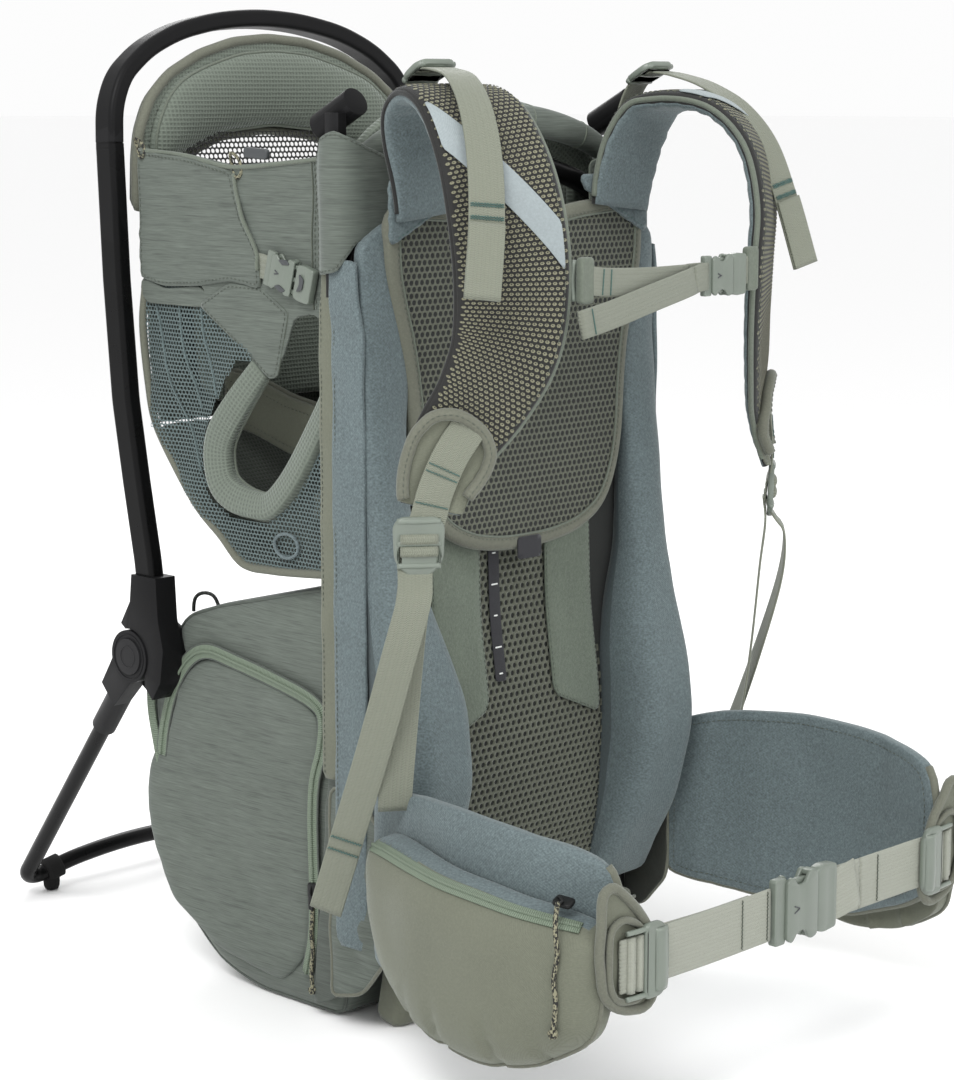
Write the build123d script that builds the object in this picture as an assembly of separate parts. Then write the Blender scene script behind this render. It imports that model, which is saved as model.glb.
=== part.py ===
"""Child carrier backpack on a hooped aluminium frame with a fold-out stand.

Frame: millimetres, +Z up, -Y towards the wearer, +Y towards the stand, X = 0 is the symmetry plane.
The origin is on the flat underside of the storage bag.
"""
from build123d import *
import math
import os

os.makedirs("parts", exist_ok=True)

# ---------------------------------------------------------------- driving dimensions
POLE_X = 147.0          # half spacing of the front frame tube
POLE_Y = -100.0         # plane of the front frame tube
POLE_R = 8.0            # front frame tube radius
HOOP_X = 160.0          # half spacing of the rear hoop legs
HOOP_W, HOOP_D = 14.0, 22.0   # flat oval section of the hoop
HINGE_Y, HINGE_Z = 131.0, 252.0   # stand hinge axis
STAND_R = 7.0           # stand tube radius
FOOT_X, FOOT_Y, FOOT_Z = 115.0, 356.0, 9.0   # stand corner
BAG_X = 147.0           # half width of the storage bag
SKIN = 5.0              # fabric and lining of the storage bag
SIDE_IN, SIDE_OUT = 147.2, 151.0  # side walls of the child compartment
AXLE_R = 5.0            # hinge axle radius
BUTTON_R = 14.4         # release button radius
HIP_Y = -396.0          # front run of the hip belt
HIP_Z = 124.0           # middle of the hip webbing
HIP_WEB = 38.0          # hip webbing width
STRAP_T = 15.0          # shoulder strap thickness


def V(*a):
    return Vector(*a)


def prism(points, direction, distance):
    """Closed flat outline pushed along direction."""
    return extrude(Face(Wire.make_polygon([V(*p) for p in points], close=True)), amount=distance, dir=V(*direction))


def yz(points, x0, x1):
    return prism([(x0, y, z) for y, z in points], (1, 0, 0), x1 - x0)


def xz(points, y0, y1):
    return prism([(x, y0, z) for x, z in points], (0, 1, 0), y1 - y0)


def xy(points, z0, z1):
    return prism([(x, y, z0) for x, y in points], (0, 0, 1), z1 - z0)


def block(x0, x1, y0, y1, z0, z1):
    return Pos((x0 + x1) / 2, (y0 + y1) / 2, (z0 + z1) / 2) * Box(x1 - x0, y1 - y0, z1 - z0)


def rod(p, q, r):
    p, q = V(*p), V(*q)
    d = q - p
    return extrude(Plane(origin=p, z_dir=d.normalized()) * Circle(r), amount=d.length)


def xcyl(x0, x1, y, z, r):
    return rod((x0, y, z), (x1, y, z), r)


def fillet_path(points, radii):
    return FilletPolyline(*[V(*p) for p in points], radius=radii)


def tube(points, radii, section_at, r):
    w = Wire(fillet_path(points, radii).edges()) if len(points) > 2 else Wire(Polyline(*[V(*p) for p in points]).edges())
    d = (V(*points[1]) - V(*points[0])).normalized()
    return sweep(Plane(origin=V(*points[0]), z_dir=d) * Circle(r), path=w)


def route_radii(points, share=0.45, low=1.0):
    """Largest arc at each corner: share of the shorter run over the tangent of half the turn."""
    radii = []
    for a, b, c in zip(points, points[1:], points[2:]):
        u, w = V(*b) - V(*a), V(*c) - V(*b)
        turn = math.radians(u.get_angle(w))
        radii.append(max(low, share * min(u.length, w.length) / math.tan(turn / 2)))
    return radii


def flip(shape):
    return mirror(shape, about=Plane.YZ)


def both(shape):
    """Left (-X) and right (+X) copies as one group of separate solids."""
    solids = list(shape.solids()) + list(flip(shape).solids())
    return Compound(children=[Solid(s.wrapped) for s in solids])


def put(name, shape):
    export_step(shape, f"parts/{name}.step")


def ribbon(points, widths, width_dirs, thick):
    """Padded strap: ruled loft through rectangles set across the path."""
    faces = []
    n = len(points)
    for i, (p, w, d) in enumerate(zip(points, widths, width_dirs)):
        a = V(*points[max(0, i - 1)])
        b = V(*points[min(n - 1, i + 1)])
        t = (b - a).normalized()
        x = V(*d) - t * V(*d).dot(t)
        x = x.normalized()
        faces.append(Plane(origin=V(*p), x_dir=x, z_dir=t) * Rectangle(w, thick[i] if isinstance(thick, (list, tuple)) else thick))
    return loft([f.faces()[0] for f in faces], ruled=True)


# ================================================================ hard frame
# Rear hoop: two legs and a moulded top arch
leg_pts = [(-HOOP_X, 111.5, 282), (-HOOP_X, 118, 330), (-HOOP_X, 130, 391), (-HOOP_X, 141, 453), (-HOOP_X, 149, 546), (-HOOP_X, 154, 650)]


def hoop_section(p, q, w, d):
    t = (V(*q) - V(*p)).normalized()
    return Plane(origin=V(*p), x_dir=V(1, 0, 0), z_dir=t) * RectangleRounded(w, d, 4)


leg_wire = Wire(fillet_path(leg_pts, 140).edges())
leg = sweep(hoop_section(leg_pts[0], leg_pts[1], HOOP_W, HOOP_D), path=leg_wire)
leg_room = sweep(hoop_section(leg_pts[0], leg_pts[1], HOOP_W + 0.4, HOOP_D + 0.4), path=leg_wire)
put("hoop_legs", both(leg))

half = [(158.5, 155.6, 678), (147, 158, 702), (121, 160.5, 722), (88, 162.5, 736), (45, 164.5, 745), (0, 165, 748)]
arch_pts = [(-HOOP_X, 154.3, 651.2)] + [(-x, y, z) for x, y, z in half[:-1]] + [half[-1]] + [(x, y, z) for x, y, z in reversed(half[:-1])] + [(HOOP_X, 154.3, 651.2)]
arch_wire = Wire(FilletPolyline(*[V(*p) for p in arch_pts], radius=[r * 0.98 for r in route_radii(arch_pts)]).edges())
arch = sweep(hoop_section(arch_pts[0], arch_pts[1], HOOP_W, HOOP_D), path=arch_wire)
put("hoop_top_arch", arch)

# Hinge housing: inner plate, outer block and the sleeve that takes the hoop leg (left side, then mirrored)
disc_room = xcyl(-180, -151.3, HINGE_Y, HINGE_Z, 22.0)
sleeve = yz([(97.5, 318), (127, 318), (129.5, 296), (141, 277.5), (120, 262), (113, 246), (113, 230), (104, 221), (94, 236), (90, 262), (95.5, 285)], -169.8, -150.2) - disc_room
plate = xcyl(-151.2, -139.0, 121, 250, 31.0)
housing = sleeve + plate
housing = housing - leg_room - xcyl(-200, -120, HINGE_Y, HINGE_Z, AXLE_R + 0.05)
put("hinge_housings", both(housing))

axle = xcyl(-162.0, -137.5, HINGE_Y, HINGE_Z, AXLE_R)
put("hinge_axles", both(axle))

# Stand: two moulded arms, one bent tube, two rubber feet
ax0 = V(-158.0, HINGE_Y, HINGE_Z)
corner = V(-FOOT_X, FOOT_Y, FOOT_Z)
leg_dir = (corner - ax0).normalized()
end = ax0 + leg_dir * 96.0
neck = yz([(HINGE_Y - 14, HINGE_Z - 14), (HINGE_Y + 14.5, HINGE_Z + 14), (HINGE_Y + 26, HINGE_Z - 7), (HINGE_Y + 39, HINGE_Z - 27), (HINGE_Y + 24, HINGE_Z - 44), (HINGE_Y + 2, HINGE_Z - 22)], -167.5, -151.8)
arm = xcyl(-170.8, -151.6, HINGE_Y, HINGE_Z, 21.0) + neck + rod(ax0 + leg_dir * 22, end, 10.0)
arm = (arm & block(-170.8, -130, 100, 260, 150, 300)) - xcyl(-151.55, -120, HINGE_Y, HINGE_Z, 42.5)
arm = arm - xcyl(-172, -163.5, HINGE_Y, HINGE_Z, BUTTON_R + 0.2) - xcyl(-163.6, -150, HINGE_Y, HINGE_Z, AXLE_R + 0.05)
arm = arm - rod(ax0 + leg_dir * 58, end + leg_dir * 2, STAND_R + 0.08)
put("stand_arms", both(arm.solids().sort_by(SortBy.VOLUME)[-1]))

button = xcyl(-172.0, -167.2, HINGE_Y, HINGE_Z, BUTTON_R)
put("hinge_button_left", button)
put("hinge_button_right", flip(button))

p_in = ax0 + leg_dir * 60
stand_pts = [(p_in.X, p_in.Y, p_in.Z), (-FOOT_X, FOOT_Y, FOOT_Z), (-72, 342, 25), (0, 331, 37.5), (72, 342, 25), (FOOT_X, FOOT_Y, FOOT_Z), (-p_in.X, p_in.Y, p_in.Z)]
stand = tube(stand_pts, [16, 90, 260, 90, 16], None, STAND_R)
put("stand_tube", stand)
u = (V(-72, 342, 25) - V(*stand_pts[1])).normalized()
f0 = V(*stand_pts[1]) + u * 23.8
f1 = V(*stand_pts[1]) + u * 38.0
foot = rod(f0, f1, 10.2) + block(-95, -83, 341.5, 353.5, 0, 16)
foot = foot & block(-110, -78, 330, 370, 0, 45)
foot = foot - rod(V(*stand_pts[1]) + u * 8, V(*stand_pts[1]) + u * 45, STAND_R + 0.08)
put("stand_feet", both(foot.solids().sort_by(SortBy.VOLUME)[-1]))

# Front frame: one bent tube, an inverted U closed at the bottom by a welded cross tube
front_pts = [(-POLE_X, POLE_Y, 40), (-POLE_X, POLE_Y, 572), (-134, -99, 602), (-100, -98, 622), (-50, -97, 636), (0, -97, 640),
             (50, -97, 636), (100, -98, 622), (134, -99, 602), (POLE_X, POLE_Y, 572), (POLE_X, POLE_Y, 40)]
front = tube(front_pts, [r * 0.9 for r in route_radii(front_pts)], None, POLE_R)
front = front + rod((-POLE_X, POLE_Y, 49), (POLE_X, POLE_Y, 49), POLE_R - 0.5)
put("front_frame_tube", front)

# Lower frame: side rails through the bag, clamps at the front tube
rail = rod((-130.5, 142, 256), (-130.5, -96, 262), 7.5)
clamp = block(-138.6, -124, -108, -88.5, 250, 274)
boss = xcyl(-138.8, -125, 121, 256.5, 14.0)
cross = rod((-130.5, 40, 258.4), (130.5, 40, 258.4), 6.0)
lower = rail + clamp + boss
lower = lower + cross + flip(lower)
lower = lower - xcyl(-139.5, -136.5, HINGE_Y, HINGE_Z, AXLE_R + 0.6) - flip(xcyl(-139.5, -136.5, HINGE_Y, HINGE_Z, AXLE_R + 0.6))
put("lower_frame", lower)

# Sunshade sockets on the front corners: open tube ends on brackets clamped to the front tube
s0, s1 = V(-148.5, -108.6, 682.9), V(-148.5, -73, 664.5)
sock = rod(s0, s1, 10.5) + block(-164, -156.3, -107, -93, 545, 675) + (Pos(-POLE_X, POLE_Y, 553) * Cylinder(12.0, 16))
sock = sock - (Pos(-POLE_X, POLE_Y, 553) * Cylinder(POLE_R + 0.1, 30))
sd = (s1 - s0).normalized()
sock = sock - rod(s1 - sd * 34, s1 + sd * 5, 7.0)
put("shade_sockets", both(sock))

# ================================================================ child compartment
panel = yz([(131, 648), (73, 643), (21, 635), (-48, 640), (-87.5, 644), (-87.5, 515), (-60, 535), (-37, 532), (-28, 482), (57, 531.5), (50, 545), (122, 548)], -SIDE_OUT, -SIDE_IN)
put("side_panels", both(panel))
mesh_out = [(122, 547), (131.5, 511), (126, 466), (118, 436), (95, 404), (69, 375), (43, 356), (18, 337), (-13, 335), (-54, 338), (-87.5, 342), (-87.5, 466),
            (-75, 446), (-44, 402), (-12, 372), (28, 373), (49, 385), (58, 418), (52, 444), (16, 494), (-7, 494), (58.6, 530.6), (51.6, 543.8)]
mesh_side = yz(mesh_out, -SIDE_OUT, -SIDE_IN)
put("mesh_sides", both(mesh_side))
rim_o = [(14, 492), (50, 443), (56, 418), (47, 387), (27, 375), (-12, 374), (-44, 404), (-75, 448), (-87, 468)]
rim_i = [(-87, 500), (-66, 462), (-34, 420), (-8, 395), (14, 394), (28, 402), (34, 420), (30, 438), (-4, 481)]
rim = yz(rim_o + rim_i, -155.5, -139.0)
put("leg_rims", both(rim))

rear = yz([(122.5, 548), (131.8, 545), (131.8, 511), (126.3, 466), (118.3, 437), (112, 440), (120, 466), (125.6, 511), (125.6, 645), (131.8, 645), (131.8, 548)][1:], -146.8, 146.8)
put("rear_wall", rear)
floor = yz([(117.6, 435), (95, 404), (69, 375), (43, 356), (18, 337), (-13, 335), (-54, 338), (-87, 342), (-87, 348), (-54, 344), (-13, 341), (16, 343), (39, 361.5), (65, 380.5), (90.5, 409), (111.4, 438)], -146.8, 146.8)
put("compartment_floor", floor)
seat = yz([(-76, 350), (9, 349), (36, 369), (40, 378), (34, 386), (-10, 380), (-76, 384)], -74, 74)
put("seat_pad", seat)
inner = yz([(102, 446), (110, 472), (113, 511), (113, 632), (125, 632), (125, 512), (119.2, 467), (111.6, 443)], -112, 112)
put("inner_back_pad", inner)
front_pad = block(-133, 133, -86.5, -79.5, 350, 596)
put("front_pad", front_pad)

# Headrest: curved padded shell
plan = [(-147, 133), (-120, 142), (-80, 148), (-40, 151), (0, 152), (40, 151), (80, 148), (120, 142), (147, 133),
        (147, 149), (120, 159), (80, 165), (40, 168), (0, 169), (-40, 168), (-80, 165), (-120, 159), (-147, 149)]
outline = [(-146, 649), (-144, 662), (-132, 685), (-110, 703), (-76, 719), (-38, 729), (0, 732), (38, 729), (76, 719), (110, 703), (132, 685), (144, 662), (146, 649)]
head = xy(plan, 640, 740) & xz(outline, 120, 180)
put("headrest", head)

# Side-release buckle of the flap on each side panel
bd = V(0, -0.965, -0.262)


def slab_on_side(center, direction, length, width, thick, x_out):
    """Flat block lying on the side panel, long axis along direction in the YZ plane."""
    pl = Plane(origin=V(x_out, center.Y, center.Z), x_dir=direction, z_dir=V(1, 0, 0))
    return extrude(pl * Rectangle(length, width), amount=thick)


sockb = slab_on_side(V(0, -40, 558.6), bd, 26, 27, 8.6, -160.4)
sockb = sockb - slab_on_side(V(0, -44.9, 557.3), bd, 28, 22.5, 4.8, -158.5)
put("flap_buckle_sockets", both(sockb))
tong = slab_on_side(V(0, -63.2, 552.3), bd, 17, 26, 8.6, -160.4)
for off in (-8.2, 0, 8.2):
    n = V(0, -bd.Z, bd.Y)
    cpos = V(0, -48.0, 556.4) + n * off
    tong = tong + slab_on_side(cpos, bd, 16.4, 4.2, 3.6, -157.9)
put("flap_buckle_tongue_left", tong)
put("flap_buckle_tongue_right", flip(tong))

# ================================================================ storage bag
side_prof = [(-84, 333), (104, 288), (136, 262), (160, 230), (167, 212), (165, 182), (156, 158), (148, 130), (144, 100), (136, 72), (118, 46), (84, 24), (46, 8), (12, 0), (-84, 0)]
plan_out = [(-BAG_X, -84), (BAG_X, -84), (BAG_X, 122), (141, 136), (128, 147), (100, 157), (50, 166), (-50, 166), (-100, 157), (-128, 147), (-141, 136), (-BAG_X, 122)]
rear_out = [(-138, 0), (138, 0), (BAG_X, 10), (BAG_X, 290), (140, 345), (-140, 345), (-BAG_X, 290), (-BAG_X, 10)]
bag_out = yz(side_prof, -BAG_X, BAG_X) & xy(plan_out, -1, 350) & xz(rear_out, -90, 180)
s = SKIN
side_in = [(-84 + s, 326.5), (101, 281.5), (131, 257), (154.5, 227), (161.5, 211.5), (160, 184), (151, 159.5), (143, 131), (139, 101.5), (131.5, 75), (115, 50.3), (82, 28.8), (44.5, 12.8), (11, 5), (-84 + s, 5)]
plan_in = [(-BAG_X + s, -84 + s), (BAG_X - s, -84 + s), (BAG_X - s, 120), (137, 132.5), (125.5, 142), (98.5, 152), (49.5, 161), (-49.5, 161), (-98.5, 152), (-125.5, 142), (-137, 132.5), (-BAG_X + s, 120)]
rear_in = [(-136, 5), (136, 5), (BAG_X - s, 12), (BAG_X - s, 288), (136, 338), (-136, 338), (-BAG_X + s, 288), (-BAG_X + s, 12)]
bag_in = yz(side_in, -BAG_X + s, BAG_X - s) & xy(plan_in, 0, 350) & xz(rear_in, -90, 180)
bag = bag_out - bag_in
notch = xcyl(-160, -124, 121, 250, 32.0)
bag = bag - notch - flip(notch)
hole = rod((-130.5, 152, 256), (-130.5, -110, 262), 8.1)
bag = bag - hole - flip(hole)
put("storage_bag", bag.solids().sort_by(SortBy.VOLUME)[-1])

# Zip tapes: U-shaped on each bag side, curved run on top of each hip pocket
zo = [(110, 196), (101, 228), (82, 252), (60, 262), (29, 259), (-13, 252), (-56, 242), (-69, 230), (-68, 205), (-60, 180), (-58, 150), (-59, 96)]


def band(points, half_w, x0, x1):
    left, right = [], []
    n = len(points)
    for i, (y, z) in enumerate(points):
        y0, z0 = points[max(0, i - 1)]
        y1, z1 = points[min(n - 1, i + 1)]
        ty, tz = y1 - y0, z1 - z0
        m = math.hypot(ty, tz)
        left.append((y - tz / m * half_w, z + ty / m * half_w))
        right.append((y + tz / m * half_w, z - ty / m * half_w))
    return yz(left + right[::-1], x0, x1)


bag_zip = band([(y - 4, z - 4) if i < 4 else (y, z - 4) if i < 7 else (y, z) for i, (y, z) in enumerate(zo)], 5.5, -149.8, -147.3)
bag_zip = bag_zip - notch

zip_x = -153.6
bag_slider = block(zip_x, -150.0, -65, -53, 86, 104)
put("bag_zip_slider_left", bag_slider)
put("bag_zip_slider_right", flip(bag_slider))

# Elastic loop on the bag top (left, beside the hinge), and the pull cord under the left bag slider
loop_pts = [(-112, 118, 286.6), (-113, 118.5, 297), (-112, 112.5, 303.5), (-110, 103, 304), (-109, 96, 299.5), (-109, 93, 293.3)]
loop_r = route_radii(loop_pts)
loop = tube(loop_pts, [r * 0.99 for r in loop_r], None, 1.5)
put("elastic_loop", loop)
pull_pts = [(-152.2, -59, 85.6), (-153.2, -60, 76), (-153.6, -58.5, 64), (-153.2, -60.5, 50), (-153.8, -58, 36), (-153, -59, 22)]
pull_r = route_radii(pull_pts)
pull = tube(pull_pts, [r * 0.99 for r in pull_r], None, 1.6)
put("bag_pull_cord", pull)
print("loop radii", [round(r, 1) for r in loop_r])
print("bag pull radii", [round(r, 1) for r in pull_r])

# ================================================================ back system
face_pts = [(-116, 598), (-119, 360), (-121, 300), (-130, 235), (-133, 200), (-129, 130), (-121, 86)]


def f(z):
    for (y0, z0), (y1, z1) in zip(face_pts, face_pts[1:]):
        if z <= z0 and z >= z1:
            return y0 + (y1 - y0) * (z0 - z) / (z0 - z1)
    return face_pts[0][0] if z > face_pts[0][1] else face_pts[-1][0]


def sheet_on_face(z_hi, z_lo, d0, d1):
    """Layer in front of the mesh face, from d0 to d1 proud of it."""
    zs = [z_hi] + [z for _, z in face_pts if z_lo < z < z_hi] + [z_lo]
    return [(f(z) - d1, z) for z in zs] + [(f(z) - d0, z) for z in reversed(zs)]


mesh = yz(sheet_on_face(598, 86, -4.5, 0), -88, 88)
put("back_mesh", mesh)
pads_hl = yz(sheet_on_face(560, 205, 0.3, 2.6), -90, 90) & xz([(-86, 216), (-36, 235), (-36, 560), (-86, 560)], -150, -100)
put("hook_loop_panels", both(pads_hl))
label = yz(sheet_on_face(356, 248, 0.3, 1.4), -26, -14)
put("size_scale_strip", label)

bol_in = [(92, 62), (92, 250), (101, 290), (119, 340), (131, 420), (141, 500), (143.5, 596), (157.5, 596), (157.5, 62)]
bol_prof = [(-125, 596), (-129, 520), (-132, 466), (-146, 358), (-160, 296), (-176, 247), (-182, 200), (-166, 138), (-134, 81), (-120, 62), (-112.5, 62), (-112.5, 596)]
bol = yz(bol_prof, 60, 160) & xz(bol_in, -190, -110)
put("bolster_right", bol)
put("bolster_left", flip(bol))
lumbar = yz([(-86.5, 0), (-122, 0), (-140, 22), (-142, 56), (-112, 58), (-111, 38), (-86.5, 38)], -132, 132)
put("lumbar_base", lumbar)
sleeve_f = (Pos(-POLE_X, POLE_Y, 392) * Cylinder(10.6, 296)) - (Pos(-POLE_X, POLE_Y, 392) * Cylinder(POLE_R + 0.1, 310))
put("pole_sleeves", both(sleeve_f - block(-138.8, -120, -110, -80, 248, 276)))
pocket_panel = yz([(-86, 22), (-86, 186), (-112, 190), (-148, 160), (-148, 60), (-122, 30)], -160.4, -158.4)
put("side_pockets", both(pocket_panel))
cover = xz([(-131, 636), (-131, 650), (-81, 668), (-25, 681), (25, 681), (81, 668), (131, 650), (131, 636), (100, 639.5), (50, 651), (0, 654), (-50, 651), (-100, 639.5)], -109, -85)
put("grab_handle", cover)

# ================================================================ harness
yoke_out = [(138, 604), (137, 560), (132, 540), (122, 505), (117, 470), (114, 430), (107, 400), (92, 372), (62, 356), (25, 350)]
yoke_all = yoke_out + [(-x, z) for x, z in reversed(yoke_out)] + [(-128, 612), (-60, 607), (0, 596), (60, 607), (128, 612)]
yoke = yz([(-122, 614), (-122, 500), (-125.5, 346), (-134.5, 346), (-131, 500), (-131, 614)], -140, 140) & xz(yoke_all, -145, -110)
put("yoke_pad", yoke)

deg = math.radians
C = [(104, -136.5, 602), (107, -138, 626), (114, -143, 655), (124, -158, 679), (132, -183, 688), (137, -211, 676), (139.5, -233, 645), (138.5, -245, 605),
     (136, -248, 562), (138, -245, 520), (150, -236, 485), (166, -224, 455), (177, -216.5, 430)]
Wd = [66, 68, 72, 76, 78, 80, 82, 84, 84, 80, 72, 62, 48]
Ph = [0, 0, 3, 8, 15, 22, 27, 31, 31, 31, 31, 33, 36]
Th = [8, 11, 14, 15, 15, 15, 15, 15, 15, 14, 13, 11, 8]
dirs = [(math.cos(deg(a)), math.sin(deg(a)), 0) for a in Ph]
strap = ribbon(C, Wd, dirs, Th)
put("shoulder_strap_right", strap)
put("shoulder_strap_left", flip(strap))


def oriented(center, xdir, zdir, sx, sy, sz):
    """Box centred on center: sx along xdir, sz along zdir, sy along the third axis."""
    pl = Plane(origin=V(*center), x_dir=V(*xdir), z_dir=V(*zdir))
    return extrude(pl * Rectangle(sx, sy), amount=sz / 2, both=True)


def ladder(center, xdir, up, w, h, t, bar):
    """Three-bar ladder lock: frame w across the webbing, h along it, t thick."""
    xd, ud = V(*xdir).normalized(), V(*up)
    ud = (ud - xd * ud.dot(xd)).normalized()
    nd = xd.cross(ud).normalized()
    pl = Plane(origin=V(*center), x_dir=xd, z_dir=nd)
    body = extrude(pl * RectangleRounded(w, h, 3.2), amount=t / 2, both=True)
    slot_h = (h - 3 * bar - 2) / 2
    for sgn in (-1, 1):
        cut = extrude(pl * (Pos(0, sgn * (slot_h + bar) / 2) * Rectangle(w - 9, slot_h)), amount=t, both=True)
        body = body - cut
    return body


wl = (0.79, 0.61, 0)
lock_lo = ladder((193.5, -214.5, 384), wl, (0.04, 0, 1), 35, 40, 5, 5)
lock_hi = ladder((119, -150.5, 703), (0.99, 0.1, 0), (0.1, -0.86, 0.5), 35, 30, 5, 4.5)
put("strap_ladder_locks", both(Compound(children=[lock_lo.solids()[0], lock_hi.solids()[0]])))

# Load lifter webbing: short anchor run from the grab handle and the long free tail over the strap
tail_pts = [(126, -172, 703.5), (136, -200, 699), (146, -223, 680), (156, -241, 648), (167, -254, 606), (180, -262, 553)]
lift_tail = ribbon(tail_pts, [25] * 6, [(0.99, 0.1, 0), (0.97, 0.2, 0), (0.93, 0.35, 0), (0.87, 0.48, 0), (0.84, 0.53, 0), (0.82, 0.56, 0)], 1.8)
put("lifter_webbing", both(lift_tail))
low_pts = [(194.5, -213, 360), (195.5, -207, 320), (196, -200, 260), (195, -193, 212)]
low_web = ribbon(low_pts, [24] * 4, [(0.79, 0.61, 0)] * 4, 1.8)
lt_pts = [(203.5, -227, 404), (208, -227, 360), (212, -214, 310), (213, -190, 240), (213, -164, 175), (212, -138, 112)]
low_tail = ribbon(lt_pts, [24] * 6, [(0.79, 0.61, 0), (0.76, 0.64, 0), (0.7, 0.71, 0), (0.62, 0.78, 0), (0.56, 0.82, 0), (0.5, 0.86, 0)], 1.8)
put("adjuster_webbing", both(low_web))
put("adjuster_tails", both(low_tail))

# Sternum strap
slid = block(-97, -85, -281, -268, 546, 578) - block(-98, -91, -276, -267.5, 540, 583)
put("sternum_sliders", both(slid))
put("sternum_webbing", block(-84.6, 18, -277.2, -275.4, 549, 569))
ssock = block(39, 63, -281.5, -271.5, 543, 575) - block(45, 64, -279.7, -273.3, 546.5, 571.5)
put("sternum_buckle_socket", ssock)
stong = block(63.6, 79, -281.5, -271.5, 543.5, 574.5)
for z0, z1 in ((548, 552.5), (556.7, 561.3), (565.5, 570)):
    stong = stong + block(47.5, 63.6, -278.3, -274.7, z0, z1)
stong = stong + block(79, 84.6, -277.2, -275.4, 549, 569)
put("sternum_buckle_tongue", stong)

# ================================================================ hip belt
wing_plan = [(161.2, -150), (166, -175), (178, -215), (190, -262), (191, -315), (184, -352), (174, -388), (186, -393), (197, -354), (205, -315), (204, -260), (191, -209), (178, -168), (173, -150)]
wing_side = [(-150, 196), (-210, 204), (-254, 207), (-311, 204), (-360, 198), (-386, 190), (-396, 165), (-396, 112), (-388, 92), (-360, 74), (-297, 50), (-213, 54), (-150, 62)]
wing = xy(wing_plan, 40, 215) & yz(wing_side, 150, 215)
put("hip_wing_right", wing)
put("hip_wing_left", flip(wing))
pk_plan = [(192, -209.5), (204.6, -260), (205.6, -315), (197.6, -354), (187, -392), (204, -396), (222, -360), (234, -315), (237, -265), (226, -215), (205, -178), (181, -166), (180, -170)]
pk_side = [(-168, 178), (-207, 174), (-300, 166), (-366, 158), (-394, 152), (-402, 105), (-390, 70), (-345, 46), (-299, 37), (-235, 47), (-195, 76), (-170, 118)]
pocket = xy(pk_plan, 30, 200) & yz(pk_side, 170, 245)
put("hip_pockets", both(pocket.solids().sort_by(SortBy.VOLUME)[-1]))
hz_plan = [(205.4, -262), (206.4, -314), (199.5, -350), (194.5, -374), (203, -377), (209, -358), (222, -315), (224, -268), (214, -225), (200, -192), (192, -196), (199, -225)]
hz = xy(hz_plan, 150, 190) & yz([(-190, 176.6), (-207, 174.9), (-300, 166.9), (-374, 158.2), (-374, 160.6), (-300, 169.5), (-207, 177.5), (-190, 179.2)], 170, 245)
hz = hz.solids().sort_by(SortBy.VOLUME)[-1]
put("zip_tapes", both(Compound(children=[bag_zip.solids().sort_by(SortBy.VOLUME)[-1], hz])))
hslide = block(-212.5, -202.5, -370, -356, 163.3, 168.0)
put("hip_zip_slider_left", hslide)
put("hip_zip_slider_right", flip(hslide))
hp_pts = [(-214.4, -364, 166.2), (-222, -369, 163.2), (-226.5, -372.5, 151), (-225.8, -374.5, 135), (-227.6, -371.5, 119), (-226, -374, 103), (-227, -371.5, 84)]
hp_r = route_radii(hp_pts)
print("hip pull radii", [round(r, 1) for r in hp_r])
hpull = tube(hp_pts, [r * 0.99 for r in hp_r], None, 1.7)
put("hip_pull_cord", hpull)

hlock = block(-172, -146, HIP_Y - 4, HIP_Y + 3.2, 98, 150)
hlock = hlock - block(-168.5, -162.5, HIP_Y - 10, HIP_Y + 10, 103, 145) - block(-157, -151, HIP_Y - 10, HIP_Y + 10, 103, 145)
put("hip_ladder_locks", both(hlock))
lo, hi = HIP_Z - HIP_WEB / 2, HIP_Z + HIP_WEB / 2
hweb = block(-145.6, -23, HIP_Y - 1, HIP_Y + 1, lo, hi)
put("hip_webbing", Compound(children=[Solid(hweb.solids()[0].wrapped), Solid(block(74, 145.6, HIP_Y - 1, HIP_Y + 1, lo, hi).solids()[0].wrapped)]))
hs = block(-22.5, 18, HIP_Y - 7, HIP_Y + 6, 98, 150) - block(-15, 19, HIP_Y - 4.6, HIP_Y + 3.6, 102.5, 145.5)
put("hip_buckle_socket", hs)
ht = block(18.8, 40, HIP_Y - 6.5, HIP_Y + 5.5, 99, 149)
for z0, z1 in ((104.5, 112), (120, 128), (136, 143.5)):
    ht = ht + block(-11, 18.8, HIP_Y - 3.4, HIP_Y + 2.4, z0, z1)
ht = ht + block(40, 43, HIP_Y - 1, HIP_Y + 1, lo, hi)
put("hip_buckle_tongue", ht)
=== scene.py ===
"""Looks of the child carrier backpack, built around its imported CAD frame."""
import bpy, bmesh, math
import numpy as np
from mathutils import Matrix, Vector
from mathutils.geometry import delaunay_2d_cdt


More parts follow.
